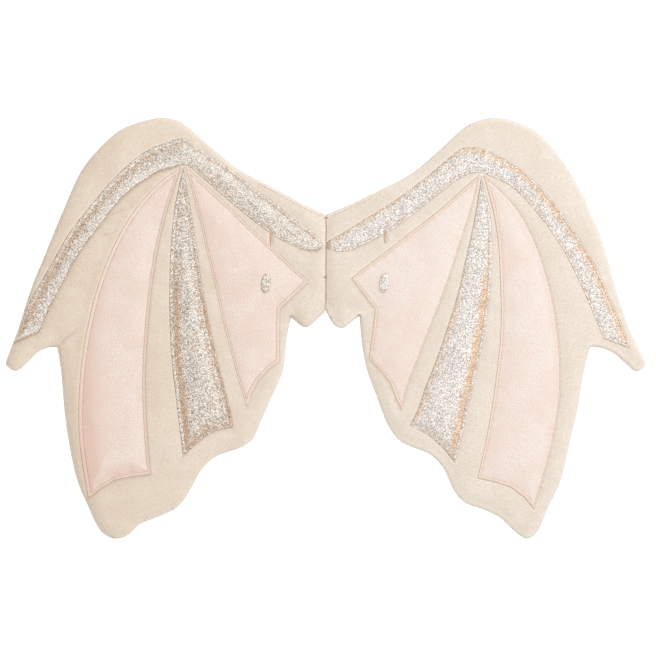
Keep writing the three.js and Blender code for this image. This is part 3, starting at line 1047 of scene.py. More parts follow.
# Painted light and shade of each piece: shade along its edges, shadow on the velour beside it, tan
# shade and highlights on the glitter, rose shade on the soft sheet
SHADING = {
    (Side.LEFT, Cut.ARM_BAND): Shading(
        Hem(2.6, 2.1, 131),
        beside=(Tone(315, -0.8, 0.9, 0.5), Tone(315, -3.5, 4.0, 0.12), Tone(180, -0.8, 0.9, 0.15),
                Tone(270, -0.6, 0.8, 0.15)),
        tan_ground_and_shade=(Tone(135, 7.0, 2.0, 0.44), Tone(180, 4.2, 2.5, 0.5), Tone(45, 3.0, 3.4, 0.25),
                Tone(225, 2.6, 1.5, 0.12), Tone(135, 0.9, 1.0, 0.15)),
        gleam=(Tone(45, 7.5, 6.0, 0.4), Tone(45, 1.0, 1.8, 0.4), Tone(315, 3.4, 2.2, 0.15),
               Tone(270, 4.0, 4.0, 0.3), Tone(135, 2.6, 1.5, 0.25))),
    (Side.LEFT, Cut.RIB): Shading(
        Hem(3.2, 0.5, 180),
        edge=(Tone(0, 0.2, 0.9, 0.4),),
        beside=(Tone(0, -0.7, 0.8, 0.35), Tone(270, -0.7, 0.8, 0.3)),
        tan_ground_and_shade=(Tone(180, 6.3, 3.2, 0.9, 80 * MM), Tone(0, 1.2, 2.0, 0.5, 70 * MM),
                Tone(0, 6.0, 4.0, 0.3, 70 * MM), Tone(270, 2.8, 1.6, 0.4),
                Tone(300, 6.0, 3.4, 0.4)),
        gleam=(Tone(0, 11.0, 2.0, 0.35),)),
    (Side.LEFT, Cut.OUTER_PANEL): Shading(
        Hem(3.2, 0.8, 180),
        edge=(Tone(270, 0.6, 0.7, 0.25), Tone(0, 0.0, 0.7, 0.4), Tone(0, 2.2, 1.6, 0.04),
              Tone(180, 0.2, 0.6, 0.1)),
        beside=(Tone(0, -0.7, 0.8, 0.5), Tone(270, -0.8, 0.9, 0.35), Tone(180, -4.0, 5.0, 0.14),
                Tone(270, -4.0, 5.0, 0.12)),
        flush=(Tone(206, 5.5, 7.0, 0.65), Tone(206, 9.5, 18.0, 0.62, 0.0, 0.1),
               Tone(280, 5.5, 7.0, 0.38), Tone(243, 7.0, 9.0, 0.35))),
    (Side.LEFT, Cut.INNER_PANEL): Shading(
        Hem(2.2, 0.7, 310),
        edge=(Tone(45, 0.0, 0.6, 0.06),),
        beside=(Tone(315, -0.7, 0.8, 0.35), Tone(0, -0.7, 0.8, 0.15), Tone(45, -0.7, 0.8, 0.15),
                Tone(0, -5.5, 3.0, 0.1), Tone(180, -1.0, 0.7, 0.25)),
        flush=(Tone(206, 4.0, 4.0, 0.25),)),
    (Side.RIGHT, Cut.ARM_BAND): Shading(
        Hem(1.9, 0.9, 270),
        edge=(Tone(270, 0.1, 0.7, 0.15),),
        beside=(Tone(315, -0.7, 0.8, 0.15), Tone(225, -1.0, 0.8, 0.15)),
        tan_ground_and_shade=(Tone(0, 2.2, 2.8, 0.36), Tone(60, 3.2, 4.2, 0.46), Tone(135, 1.8, 2.4, 0.34),
                Tone(225, 1.4, 1.2, 0.2))),
    (Side.RIGHT, Cut.RIB): Shading(
        Hem(2.0, 1.0, 0),
        beside=(Tone(0, -1.2, 1.2, 0.18), Tone(180, -0.5, 0.8, 0.12)),
        tan_ground_and_shade=(Tone(0, 5.3, 3.4, 1.0, 80 * MM), Tone(180, 2.6, 3.6, 0.42, 70 * MM)),
        flake_shade=(Tone(235, 5.2, 2.4, 0.45),)),
    (Side.RIGHT, Cut.OUTER_PANEL): Shading(
        Hem(1.9, 1.4, 233),
        edge=(Tone(180, 0.0, 0.5, 0.22), Tone(250, 1.0, 0.7, 0.34), Tone(0, 0.3, 0.9, 0.1),
              Tone(0, 3.2, 2.4, 0.05)),
        beside=(Tone(180, -0.7, 0.6, 0.15), Tone(0, -2.4, 1.6, 0.06)),
        flush=(Tone(206, 4.5, 7.0, 0.18), Tone(206, 8.5, 18.0, 0.12, 0.0, 0.1))),
    (Side.RIGHT, Cut.INNER_PANEL): Shading(
        Hem(2.0, 1.2, 135),
        edge=(Tone(225, 0.0, 0.8, 0.1), Tone(135, 0.9, 0.6, 0.3), Tone(180, 1.9, 1.4, 0.03)),
        beside=(Tone(225, -0.9, 0.8, 0.6), Tone(0, -1.4, 1.2, 0.13)),
        flush=(Tone(206, 4.0, 4.0, 0.08),)),
}


@dataclass
class SewnPiece:
    """A piece of cloth or soft sheet that is sewn flat onto a wing.

    The rings are rows of mesh points, in millimetres from the edge.
    """

    side: Side
    cut: Cut
    finish: bpy.types.Material
    slot: str
    thickness: float = 0.65 * MM
    clearance: float = 0.2 * MM
    sink: float = 0.85 * MM
    puff: float = 0.3 * MM
    puff_width: float = 9.0 * MM
    lip_drop: float = 0.3
    lip_width: float = 0.35 * MM
    step: float = 1.1 * MM
    fill_step: float = 2.0 * MM
    fill_from: float = 6.8 * MM
    crowding: float = 0.62 * MM
    rings: tuple[float, ...] = (0.45, 1.1, 1.9, 2.7, 3.3, 3.8, 4.3, 5.0, 6.2)
    thread: float = 0.36 * MM
    seam_slack: float = 0.96
    stitch_valley_shade: Band = Band(0.0, 0.5, 0.12)
    bare_rim: float = 0.6 * MM
    flat: tuple[float, float] = (0.0, 0.0)
    edge: SewnEdge = field(init=False)
    shading: Shading = field(init=False)

    def __post_init__(self) -> None:
        """Reads the piece's edge from its CAD node."""
        self.edge = edge_of(self.node, EdgeTest(1 * MM, True))
        self.shading = SHADING[self.side, self.cut]
        if not self.flat[0]:
            width, length = self.edge.high - self.edge.low
            self.flat = (float(width), float(length))

    @property
    def node(self) -> str:
        """Name of the CAD node that the piece stands for."""
        return f"{self.side.value}_{self.cut.value}"

    def from_seam(self, spots: Spots) -> np.ndarray:
        """Distance of each spot from the stitch line, above zero inside it."""
        return spots.depth - self.shading.hem.at(spots.facing)

    def seam_path(self) -> np.ndarray:
        """Lays out the stitch line.

        Returns:
            Its points in order.
        """
        loop = self.edge.sampled(OUTLINE_STEP)
        inward = self.edge.inward(loop)
        inset = self.shading.hem.at(-inward)
        moved = loop + inward * inset[:, None]
        spots = self.edge.measure(moved)
        kept = moved[spots.depth >= self.shading.hem.at(spots.facing) * self.seam_slack]
        return np.vstack([kept, kept[:1]])

    def underside(self, wing: "PaddedWing", points: np.ndarray) -> np.ndarray:
        """Height of the piece's back, sunk a little into the velour."""
        return wing.cloth_level(points) - self.sink + self.clearance

    def build(self, wing: "PaddedWing") -> None:
        """Lays the piece over the padding and gives it its thickness.

        Args:
            wing: The padded wing below.
        """
        rim = self.edge.sampled(self.step)
        rows = [self.edge.row(inset * MM, self.step) for inset in self.rings]
        fill = self.edge.lattice(self.fill_step, self.fill_from)
        inner = thinned(np.vstack([*rows, fill]), rim, self.crowding)[len(rim):]
        points, triangles = tiled(self.edge, rim, inner)
        spots = self.edge.measure(points)
        from_seam = self.from_seam(spots)
        bottom = self.underside(wing, points)
        lift = self.puff * (1 - bell(from_seam, self.puff_width)) * (from_seam > 0)
        rounding = self.lip_drop * self.thickness * (1 - unit(spots.depth / self.lip_width))
        top = bottom + self.thickness + lift - rounding
        count = len(points)
        corners = np.vstack([np.column_stack([points, top]), np.column_stack([points, bottom])])
        faces = triangles + [(c + count, b + count, a + count) for a, b, c in triangles]
        for i in range(len(rim)):
            j = (i + 1) % len(rim)
            faces.append((i, i + count, j + count, j))
        piece = mesh_at_origin(f"{self.node}_cloth", corners, faces, self.finish)
        for name, values in self.tones(spots).items():
            mark_vertices(piece, name, np.tile(unit(values), 2))
        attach(piece, "root")
        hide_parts(self.node)
        area = min(self.edge.area, self.flat[0] * self.flat[1])
        LOG.info("%s: %d faces", piece.name, len(faces))

    @staticmethod
    def outline(spots: Spots) -> np.ndarray:
        """Painted shade at the very edge, less where the edge faces away from the key light."""
        return unit(0.6 + 0.6 * spots.facing @ KEY_WAY) * OUTLINE.at(spots.depth)

    def tones(self, spots: Spots) -> dict[str, np.ndarray]:
        """Paints shade on the sheet at its stitches, at its edge and outside the stitching.

        Args:
            spots: Places on the piece.

        Returns:
            The shares from 0 to 1 under the names that the finish reads.
        """
        look, from_seam = self.shading, self.from_seam(spots)
        # Painted rose shade on the sides that face away from the key light, and painted shade at
        # the edges
        rose_shade = look.total(look.flush, spots)
        dark_tone_and_shade = look.total(look.edge, spots)
        return {
            "shade": dark_tone_and_shade + self.stitch_valley_shade.at(from_seam) + self.outline(spots),
            "flush": rose_shade,
            "lip_shade": unit(-from_seam / self.bare_rim) * (1 - 0.9 * unit(rose_shade)),
        }


@dataclass
class GlitterPiece(SewnPiece):
    """A sewn-on glitter piece, with tan painted shade beside its stitching and painted highlights.
    """

    thread: float = 0.42 * MM
    stitch_valley_shade: Band = Band(0.0, 0.7, 0.08)

    def tones(self, spots: Spots) -> dict[str, np.ndarray]:
        """Paints tan shade beside the stitching and highlights where the flakes catch the light.

        Args:
            spots: Places on the piece.

        Returns:
            The shares from 0 to 1 under the names that the finish reads.
        """
        look = self.shading
        tan_shade = look.total(look.tan_ground_and_shade + look.edge, spots)
        valley_shade = self.stitch_valley_shade.at(self.from_seam(spots))
        return {
            "shade": tan_shade + valley_shade + self.outline(spots),
            "gleam": look.total(look.gleam, spots),
            "flake_shade": look.total(look.flake_shade, spots),
        }


@dataclass(frozen=True)
class RimLook:
    """The painted light and shade on the nap round the rim of one wing, and at the middle seam."""

    lit: Band
    dim: Band
    seam_light: Band
    seam_shade: float = 0.0
    left_shade: Band = Band(8.0, 5.0, 0.0)


RIM_LOOKS = {
    Side.LEFT: RimLook(Band(1.6, 1.4, 0.3), Band(0.0, 2.4), Band(0.0, 0.8),
                       left_shade=Band(8.0, 5.0, 0.12)),
    Side.RIGHT: RimLook(Band(2.0, 2.1, 0.6), Band(0.0, 3.6), Band(1.6, 1.4, 0.2), seam_shade=0.08),
}


@dataclass
class PaddedWing:
    """One padded velour wing, swollen by its wadding between its stitch lines.

    The rings are rows of mesh points, in millimetres from the edge, and the lines are such
    rows beside the edges of the sewn-on pieces.
    """

    side: Side
    finish: bpy.types.Material
    pieces: list[SewnPiece]
    edge_height: float = 3.6 * MM
    rim_rounding: float = 3.4 * MM
    rim_shoulder: float = 7.4 * MM
    outer_rise: float = 2.0 * MM
    seam_rounding: float = 1.5 * MM
    seam_rise: float = 4.6 * MM
    seam_low: float = 14.0 * MM
    seam_high: float = 107.0 * MM
    seam_blend: float = 4.0 * MM
    seam_top_blend: float = 2.0 * MM
    back_rounding: float = 6.0 * MM
    strap_press: float = 2.1 * MM
    strap_gap: float = 0.6 * MM
    strap_slope: float = 3.0 * MM
    voxel: float = 4.0 * MM
    pressure: float = 4.0
    stiffness: float = 25.0
    bending: float = 0.4
    settling: int = 20
    flattened: float = 0.82
    held_rim: float = 2.5 * MM
    held_seam: float = 2.0 * MM
    cap: float = 5.0 * MM
    stitch_dip: float = 0.35 * MM
    stitch_width: float = 1.3 * MM
    stitch_reach: float = 14.0 * MM
    level: float = 10.2 * MM
    relief: float = 0.4
    groove_reach: float = 4.0 * MM
    groove_start: float = 0.45
    groove_lean: float = 0.15
    groove_width: float = 0.8 * MM
    rim_step: float = 1.6 * MM
    ring_step: float = 1.9 * MM
    rings: tuple[float, ...] = (0.35, 1.0, 2.0, 3.4, 5.2, 7.4)
    line_step: float = 1.3 * MM
    line_from: float = 0.6 * MM
    lines: tuple[float, ...] = (-0.55, 0.3)
    fill_step: float = 2.3 * MM
    fill_from: float = 8.2 * MM
    back_step: float = 5.0 * MM
    back_from: float = 8.5 * MM
    strap_margin: float = 8.0 * MM
    strap_crowding: float = 2.2 * MM
    crowding: float = 0.8 * MM
    edge: SewnEdge = field(init=False)
    soft_top: BVHTree = field(init=False)
    pad: bpy.types.Object = field(init=False)

    def __post_init__(self) -> None:
        """Reads the outline and swells the wadding."""
        self.edge = edge_of(self.node, EdgeTest(self.edge_height - 0.2 * MM, False))
        self.soft_top = self.swell()

    @property
    def node(self) -> str:
        """Name of the CAD node that the wing stands for."""
        return f"{self.side.value}_wing_body"

    def strap_box(self) -> tuple[np.ndarray, np.ndarray]:
        """Corners of the strap's place on the back, seen from above."""
        low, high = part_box(f"{self.side.value}_arm_strap")
        return np.array(low[:2]), np.array(high[:2])

    def beside(self, points: np.ndarray, margin: float
               ) -> Iterator[tuple[int, SewnPiece, np.ndarray, Spots]]:
        """Goes through the sewn-on pieces that have points near them.

        Args:
            points: Places on the wing.
            margin: How far beside a piece's box a point counts as near.

        Yields:
            The piece's number, the piece, the numbers of the points near it, and how these
            points lie to its edge.
        """
        for number, piece in enumerate(self.pieces):
            rows = near(points, piece.edge.low, piece.edge.high, margin)
            if rows.size:
                yield number, piece, rows, piece.edge.measure(points[rows])

    def seam_distance(self, points: np.ndarray) -> np.ndarray:
        """Measures how far points are from the stitch lines of the sewn-on pieces.

        Args:
            points: Places on the wing.

        Returns:
            The distance of each point from the nearest line, or 1 far from all of them.
        """
        nearest = np.full(len(points), 1.0)
        for _, piece, rows, spots in self.beside(points, self.stitch_reach):
            nearest[rows] = np.minimum(nearest[rows], np.abs(piece.from_seam(spots)))
        return nearest

    def swell(self) -> BVHTree:
        """Blows up a copy of the wing like wadding, held at its edge and stitches.

        Returns:
            The swollen surface, ready to be measured.
        """
        node = bpy.data.objects[self.node]
        mesh = node.data.copy()
        pad = bpy.data.objects.new(f"{self.node}_wadding", mesh)
        bpy.context.scene.collection.objects.link(pad)
        only(pad)
        with whole_mesh():
            bpy.ops.mesh.remove_doubles(threshold=MERGE_GAP)
        mesh.remesh_voxel_size = self.voxel
        bpy.ops.object.voxel_remesh()
        self.inflate(pad)
        modify(pad, "SUBSURF", levels=1, render_levels=1)
        modify(pad, "SMOOTH", iterations=4)
        tree = BVHTree.FromObject(pad, bpy.context.evaluated_depsgraph_get())
        bpy.data.objects.remove(pad)
        return tree

    def inflate(self, pad: bpy.types.Object) -> None:
        """Runs the cloth simulation on the wadding and applies it.

        Args:
            pad: The remeshed copy of the wing.
        """
        mesh = pad.data
        rest = corners_of(mesh)
        front = rest[:, 2] > self.edge_height
        rest[front, 2] = self.edge_height + self.flattened * (rest[front, 2] - self.edge_height)
        mesh.vertices.foreach_set("co", rest.ravel())
        depth = self.edge.measure(rest[:, :2]).depth
        gap = self.seam_distance(rest[:, :2])
        held = ~front | (depth < self.held_rim) | (gap < self.held_seam)
        group = pad.vertex_groups.new(name="sewn")
        group.add([int(k) for k in np.flatnonzero(held)], 1.0, "REPLACE")
        cloth = pad.modifiers.new("wadding", "CLOTH")
        settings = cloth.settings
        settings.use_pressure = True
        settings.uniform_pressure_force = self.pressure
        settings.effector_weights.gravity = 0.0
        settings.vertex_group_mass = group.name
        settings.tension_stiffness = settings.compression_stiffness = self.stiffness
        settings.bending_stiffness = self.bending
        scene = bpy.context.scene
        for step in range(1, self.settling + 1):
            scene.frame_set(step)
        bpy.ops.object.modifier_apply(modifier=cloth.name)
        moved = corners_of(mesh) - rest
        far = np.linalg.norm(moved, axis=1)
        LOG.info("%s: wadding swells by up to %.1f mm", self.node, far.max() / MM)
        moved *= np.minimum(1.0, self.cap / np.maximum(far, 1e-9))[:, None]
        mesh.vertices.foreach_set("co", (rest + moved).ravel())
        mesh.update()
        scene.frame_set(1)

    def face_height(self, points: np.ndarray) -> np.ndarray:
        """Height of the padded face, pressed down under the sewn-on pieces.

        Args:
            points: Places on the wing.

        Returns:
            The height at each place.
        """
        height = self.cloth_level(points)
        for _, piece, rows, spots in self.beside(points, self.groove_reach):
            start = self.groove_start + self.groove_lean * spots.facing @ KEY_WAY
            height[rows] -= piece.sink * unit(start + spots.depth / self.groove_width)
        return height

    def cloth_level(self, points: np.ndarray) -> np.ndarray:
        """Height of the padded face as if nothing lay on it.

        Args:
            points: Places on the wing.

        Returns:
            The height at each place.
        """
        soft = np.full(len(points), self.edge_height + self.outer_rise)
        down = Vector((0.0, 0.0, -1.0))
        for k, (x, y) in enumerate(points):
            hit = self.soft_top.ray_cast(Vector((x, y, RAY_START)), down)[0]
            if hit is not None:
                soft[k] = max(hit.z, self.edge_height)
        soft = self.level + self.relief * (soft - self.level)
        spots = self.edge.measure(points)
        joined = self.joined(points)
        rounding = self.rim_rounding + (self.seam_rounding - self.rim_rounding) * joined
        cap = np.sqrt(1 - (1 - unit(spots.depth / rounding)) ** 2)
        rim = self.edge_height + self.seam_rise * joined
        height = rim + (np.maximum(soft, self.rim_shoulder) - rim) * cap
        height += RIM_RIPPLE.height(spots.place, spots.depth, 1.0) * cap
        for number, piece, rows, spots in self.beside(points, self.stitch_reach):
            gap = piece.from_seam(spots)
            height[rows] += (-self.stitch_dip * bell(gap, self.stitch_width)
                             + PUCKER.height(spots.place, gap, number)
                             + GATHER.height(spots.place, gap, number + 5))
        for crease in CREASES[self.side]:
            height += crease.height(points)
        return np.maximum(height, self.edge_height)

    def joined(self, points: np.ndarray) -> np.ndarray:
        """How near points are to the seam that joins the wings.

        Args:
            points: Places on the wing.

        Returns:
            A share from 0 away from the seam to 1 at it.
        """
        ends = unit((points[:, 1] - self.seam_low) / self.seam_blend)
        ends *= unit((self.seam_high - points[:, 1]) / self.seam_top_blend)
        return ends * unit(2.0 - np.abs(points[:, 0]) / self.seam_blend)

    def back_height(self, points: np.ndarray) -> np.ndarray:
        """Height of the flat back, with the press that holds the strap.

        Args:
            points: Places on the wing.

        Returns:
            The height at each place.
        """
        rest = 1 - unit(self.edge.measure(points).depth / self.back_rounding)
        height = self.edge_height * (1 - np.sqrt(1 - rest ** 2))
        low, high = self.strap_box()
        beyond = np.maximum(np.maximum(low - points, points - high), 0.0)
        slope = unit((np.linalg.norm(beyond, axis=1) - self.strap_gap) / self.strap_slope)
        return height + self.strap_press * (1 - slope)

    def build(self) -> None:
        """Makes the velour cover over the swollen wadding."""
        rim = self.edge.sampled(self.rim_step)
        rows = [self.edge.row(inset * MM, self.ring_step) for inset in self.rings]
        low, high = self.strap_box()
        fill = self.edge.lattice(self.fill_step, self.fill_from)
        lines = np.vstack([piece.edge.row(inset * MM, self.line_step) for piece in self.pieces
                           for inset in self.lines]
                          + [crease.rows() for crease in CREASES[self.side]])
        lines = lines[self.edge.measure(lines).depth > self.line_from]
        front_inner = thinned(np.vstack([lines, *rows, fill]), rim, self.crowding)[len(rim):]
        round_strap = fill[near(fill, low, high, self.strap_margin)]
        coarse = self.edge.lattice(self.back_step, self.back_from)
        back_fill = thinned(coarse, round_strap, self.strap_crowding)
        back_inner = thinned(np.vstack([*rows, back_fill]), rim, self.crowding)[len(rim):]
        front, front_faces = tiled(self.edge, rim, front_inner)
        back, back_faces = tiled(self.edge, rim, back_inner)
        face_z = self.face_height(front)
        face_z[:len(rim)] = self.edge_height + self.seam_rise * self.joined(rim)
        back_z = self.back_height(back)
        shift = len(front) - len(rim)

        def below(k: int) -> int:
            """Number of a back corner in the closed mesh; the rim is shared."""
            return k if k < len(rim) else k + shift

        corners = np.vstack([np.column_stack([front, face_z]),
                             np.column_stack([back, back_z])[len(rim):]])
        faces = front_faces + [(below(c), below(b), below(a)) for a, b, c in back_faces]
        self.pad = mesh_at_origin(f"{self.node}_cover", corners, faces, self.finish)
        for name, values in self.tones(corners[:, :2]).items():
            values[len(front):] = 0.0
            mark_vertices(self.pad, name, values)
        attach(self.pad, "root")
        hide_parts(self.node)
        LOG.info("%s: %d faces", self.pad.name, len(faces))

    def tones(self, points: np.ndarray) -> dict[str, np.ndarray]:
        """Paints shade and light on the nap beside the sewn-on pieces, in the creases and round the
        rim.

        Args:
            points: Places on the wing.

        Returns:
            The shares from 0 to 1 under the names that the finish reads.
        """
        spots = self.edge.measure(points)
        depth, facing = spots.depth, spots.facing
        joined = self.joined(points)
        free = 1 - joined
        rim = RIM_LOOKS[self.side]
        # Painted shade along the rim, most on the sides that face down and right
        below_right = free * unit(facing @ way(320))
        shade = (0.25 - 0.15 * joined + 0.2 * below_right) * RIM_LINE.at(depth)
        # Painted shade in the creases
        for crease in CREASES[self.side]:
            shade = np.maximum(shade, crease.shade(points))
        # Painted light at the seam; painted shadow and painted light beside the pieces
        bright = joined * rim.seam_light.at(depth)
        for _, piece, rows, spots in self.beside(points, self.stitch_reach):
            tone = piece.shading.total(piece.shading.beside, spots)
            shade[rows] = np.maximum(shade[rows], tone + GROOVE_LINE.at(spots.depth))
            lit, top = unit(spots.facing @ KEY_WAY), unit(2.0 * spots.facing @ way(122) - 1.0)
            bright[rows] += lit * LIT_GROOVE.at(spots.depth) + top * TOP_GROOVE.at(spots.depth)
        right, left = (free * unit(facing @ way(degrees)) for degrees in (21, 180))
        below = free * np.maximum(unit(facing @ way(240)), 0.27 * unit(facing @ way(122)))
        # Painted shade on the left side and at the seam
        shade += rim.left_shade.at(depth) * left + rim.seam_shade * joined
        # Painted shade on rims that face the key light, painted light on rims that face away, and a
        # painted greyish shadow line on the rim
        return {
            "shade": shade,
            "dim": right * rim.dim.at(depth),
            "lit": unit(rim.lit.at(depth) * below + bright),
            "grey_rim_shade": (left if self.side is Side.LEFT else below) * RIM_GREY.at(depth),
        }


@dataclass(frozen=True)
class Crease:
    """A fold pressed into the velour along a short path."""

    path: tuple[tuple[float, float], ...]
    depth: float = 0.7 * MM
    width: float = 1.3 * MM
    # Strength of the painted shade in the fold
    tone: float = 0.3

    def distance(self, points: np.ndarray) -> tuple[np.ndarray, np.ndarray]:
        """Measures how far points are from the fold.

        Args:
            points: Places on the wing.

        Returns:
            The distance of each point, and its share of the way along the fold.
        """
        track = even_steps(np.array(self.path) * MM, 0.5 * MM)
        far = np.full(len(points), 1.0)
        share = np.zeros(len(points))
        rows = near(points, track.min(axis=0), track.max(axis=0), 9 * MM)
        if rows.size:
            gaps = np.linalg.norm(points[rows][:, None] - track[None], axis=2)
            nearest = np.argmin(gaps, axis=1)
            far[rows] = gaps[np.arange(len(rows)), nearest]
            share[rows] = nearest / (len(track) - 1)
        return far, share

    def rows(self) -> np.ndarray:
        """Lays mesh points along the fold and at both sides of it.

        Returns:
            The points.
        """
        track = even_steps(np.array(self.path) * MM, 1.1 * MM)
        along = np.gradient(track, axis=0)
        aside = np.column_stack([-along[:, 1], along[:, 0]])
        aside /= np.linalg.norm(aside, axis=1)[:, None]
        return np.vstack([track + aside * shift * self.width
                          for shift in (0.0, -0.8, 0.8, -1.7, 1.7)])

    @staticmethod
    def fade(share: np.ndarray) -> np.ndarray:
        """How far the fold has faded towards its ends."""
        return np.sin(math.pi * unit(0.12 + 0.85 * share))

    def height(self, points: np.ndarray) -> np.ndarray:
        """Presses the fold into the face, with a small swell beside it.

        Args:
            points: Places on the wing.

        Returns:
            How much each point rises, below zero in the fold.
        """
        far, share = self.distance(points)
        swell = 0.35 * bell(far - 2.6 * self.width, 1.4 * self.width)
        return self.fade(share) * self.depth * (swell - bell(far, self.width))

    def shade(self, points: np.ndarray) -> np.ndarray:
        """How much painted shade darkens the nap in the fold at each point."""
        far, share = self.distance(points)
        return self.tone * bell(far, 0.8 * self.width) * self.fade(share)


CREASES = {
    Side.LEFT: (
        Crease(((-250.2, -16.2), (-245.2, -10.6), (-236.0, -4.4), (-230.8, 0.0)), 0.8 * MM,
               1.2 * MM, 0.42),
        Crease(((-209.0, 102.8), (-200.5, 106.7), (-191.0, 110.1), (-183.8, 111.1)), 0.6 * MM,
               1.4 * MM, 0.45),
        Crease(((-213.7, 85.0), (-203.2, 87.9), (-195.9, 88.9)), 0.5 * MM, 1.5 * MM, 0.3),
        Crease(((-52.0, 91.0), (-52.0, 77.0)), 1.3 * MM, 1.7 * MM, 0.5),
    ),
    Side.RIGHT: (
        Crease(((54.8, 92.0), (54.8, 79.0)), 1.3 * MM, 1.7 * MM, 0.5),
        Crease(((200.0, -168.5), (212.0, -170.0), (220.0, -169.0)), 0.4 * MM, 1.4 * MM, 0.2),
    ),
}


@dataclass
class StitchRow:
    """A row of machine stitches, each a short length of thread."""

    name: str
    finish: bpy.types.Material
    path: np.ndarray
    heights: np.ndarray
    pitch: float = 3.1 * MM
    length: float = 2.5 * MM
    thread: float = 0.4 * MM
    flatness: float = 0.8

    def stitch(self) -> tuple[np.ndarray, list[tuple[int, ...]]]:
        """Models one stitch about the origin, along X.

        Returns:
            Its corners and faces.
        """
        thing = primitive(bpy.ops.mesh.primitive_uv_sphere_add, "stitch", segments=6,
                          ring_count=5, radius=0.5, rotation=(0.0, math.pi / 2, 0.0))
        bpy.ops.object.transform_apply(location=False, rotation=True, scale=False)
        with whole_mesh():
            bpy.ops.transform.resize(value=(self.length, self.thread,
                                            self.flatness * self.thread))
        corners = corners_of(thing.data)
        faces = [tuple(p.vertices) for p in thing.data.polygons]
        bpy.data.objects.remove(thing)
        return corners, faces

    def build(self) -> None:
        """Sets the stitches along the path."""
        track = even_steps(np.column_stack([self.path, self.heights]), self.pitch)
        middle = (track[1:] + track[:-1]) / 2
        along = track[1:] - track[:-1]
        corners, faces = self.stitch()
        points, tiles = [], []
        for k, (centre, run) in enumerate(zip(middle, along)):
            x = run / np.linalg.norm(run)
            y = np.cross((0.0, 0.0, 1.0), x)
            y /= np.linalg.norm(y)
            points.append(corners @ np.array([x, y, np.cross(x, y)]) + centre)
            tiles += [tuple(i + k * len(corners) for i in face) for face in faces]
        row = mesh_at_origin(self.name, np.vstack(points), tiles, self.finish)
        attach(row, "root")
        LOG.info("%s: %d stitches", self.name, len(middle))


@dataclass
class ArmStrap:
    """A plain length of woven elastic on the back of a wing."""

    side: Side
    finish: bpy.types.Material
    margin: float = 0.4 * MM
    cord: float = 1.3 * MM
    cord_rise: float = 0.08 * MM
    thickness: float = 1.0 * MM
    bevel: float = 0.3 * MM

    def build(self) -> None:
        """Models the strap in the press of the back."""
        low, high = (Vector(corner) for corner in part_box(f"{self.side.value}_arm_strap"))
        size = high - low
        strap = primitive(bpy.ops.mesh.primitive_grid_add, f"{self.side.value}_strap_elastic",
                          x_subdivisions=16, y_subdivisions=60, size=1.0,
                          location=(low + high) / 2)
        with whole_mesh():
            bpy.ops.transform.resize(value=(size.x - self.margin, size.y - self.margin, 1.0))
        bpy.ops.object.transform_apply(location=True, rotation=True, scale=True)
        for vert in strap.data.vertices:
            across = (vert.co.x - (low.x + high.x) / 2) / self.cord
            vert.co.z += self.cord_rise * math.cos(2 * math.pi * across)
        modify(strap, "SOLIDIFY", thickness=self.thickness, offset=0.0)
        modify(strap, "BEVEL", width=self.bevel, segments=2, limit_method="ANGLE",
               angle_limit=math.radians(50))
        bpy.ops.object.shade_smooth_by_angle(angle=math.radians(40))
        strap.data.materials.append(self.finish)
        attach(strap, "root")
        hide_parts(f"{self.side.value}_arm_strap")
        LOG.info("%s: %d faces", strap.name, len(strap.data.polygons))


@dataclass(frozen=True)
class Tack:
    """A short upright tack: its place across the wing, its two ends and its hook."""

    across: float
    low: float
    high: float
    hook: float

    def path(self) -> np.ndarray:
        """Marks along the tack, from its hooked foot to its top."""
        bend = 0.65 * self.low + 0.35 * self.high
        return np.array([[self.across + self.hook, self.low],
                         [self.across - 0.2 * self.hook, bend], [self.across, self.high]])


TACKS = {Side.LEFT: Tack(-52.0 * MM, 77.0 * MM, 90.0 * MM, 0.2 * MM),
         Side.RIGHT: Tack(54.8 * MM, 79.4 * MM, 91.0 * MM, 1.4 * MM)}
EDGE_ROW_RISE = 0.1 * MM
TOP_ROW_RISE = -0.05 * MM
TACK_RISE = 0.3 * MM
BAR_TACK_RISE = 0.7 * MM
TOP_ROW_INSET = 3.5 * MM
TOP_ROW_START = 3.8 * MM
TOP_ROW_END = {Side.LEFT: 64.0 * MM, Side.RIGHT: 42.0 * MM}
TOP_ROW_LOWEST = 100 * MM
OVAL_PLACE = {Side.LEFT: (-56.2 * MM, 41.8 * MM), Side.RIGHT: (54.4 * MM, 42.2 * MM)}
LEAST_SHEET = 10.0 * MM  # Narrowest width of a sheet, not applied to anything. Narrowest width that a sheet can be declared with
SEAM_ENDS = ((0.25 * MM, 104.5 * MM), (-0.15 * MM, 17.0 * MM))
SEAM_LEVEL = 8.7 * MM
BAR_TACK = (1.2 * MM, 4.4 * MM, 73.0 * MM, 82.0 * MM)
BAR_TACK_PITCH = 1.3 * MM
KNOTS = ((0.6 * MM, 103.6 * MM, 1.8 * MM), (1.8 * MM, 75.8 * MM, 1.6 * MM),
         (-0.4 * MM, 47.9 * MM, 1.3 * MM))
KNOT_LEVELS = (8.8 * MM, 9.6 * MM)
PATH_STEP = 1.0 * MM


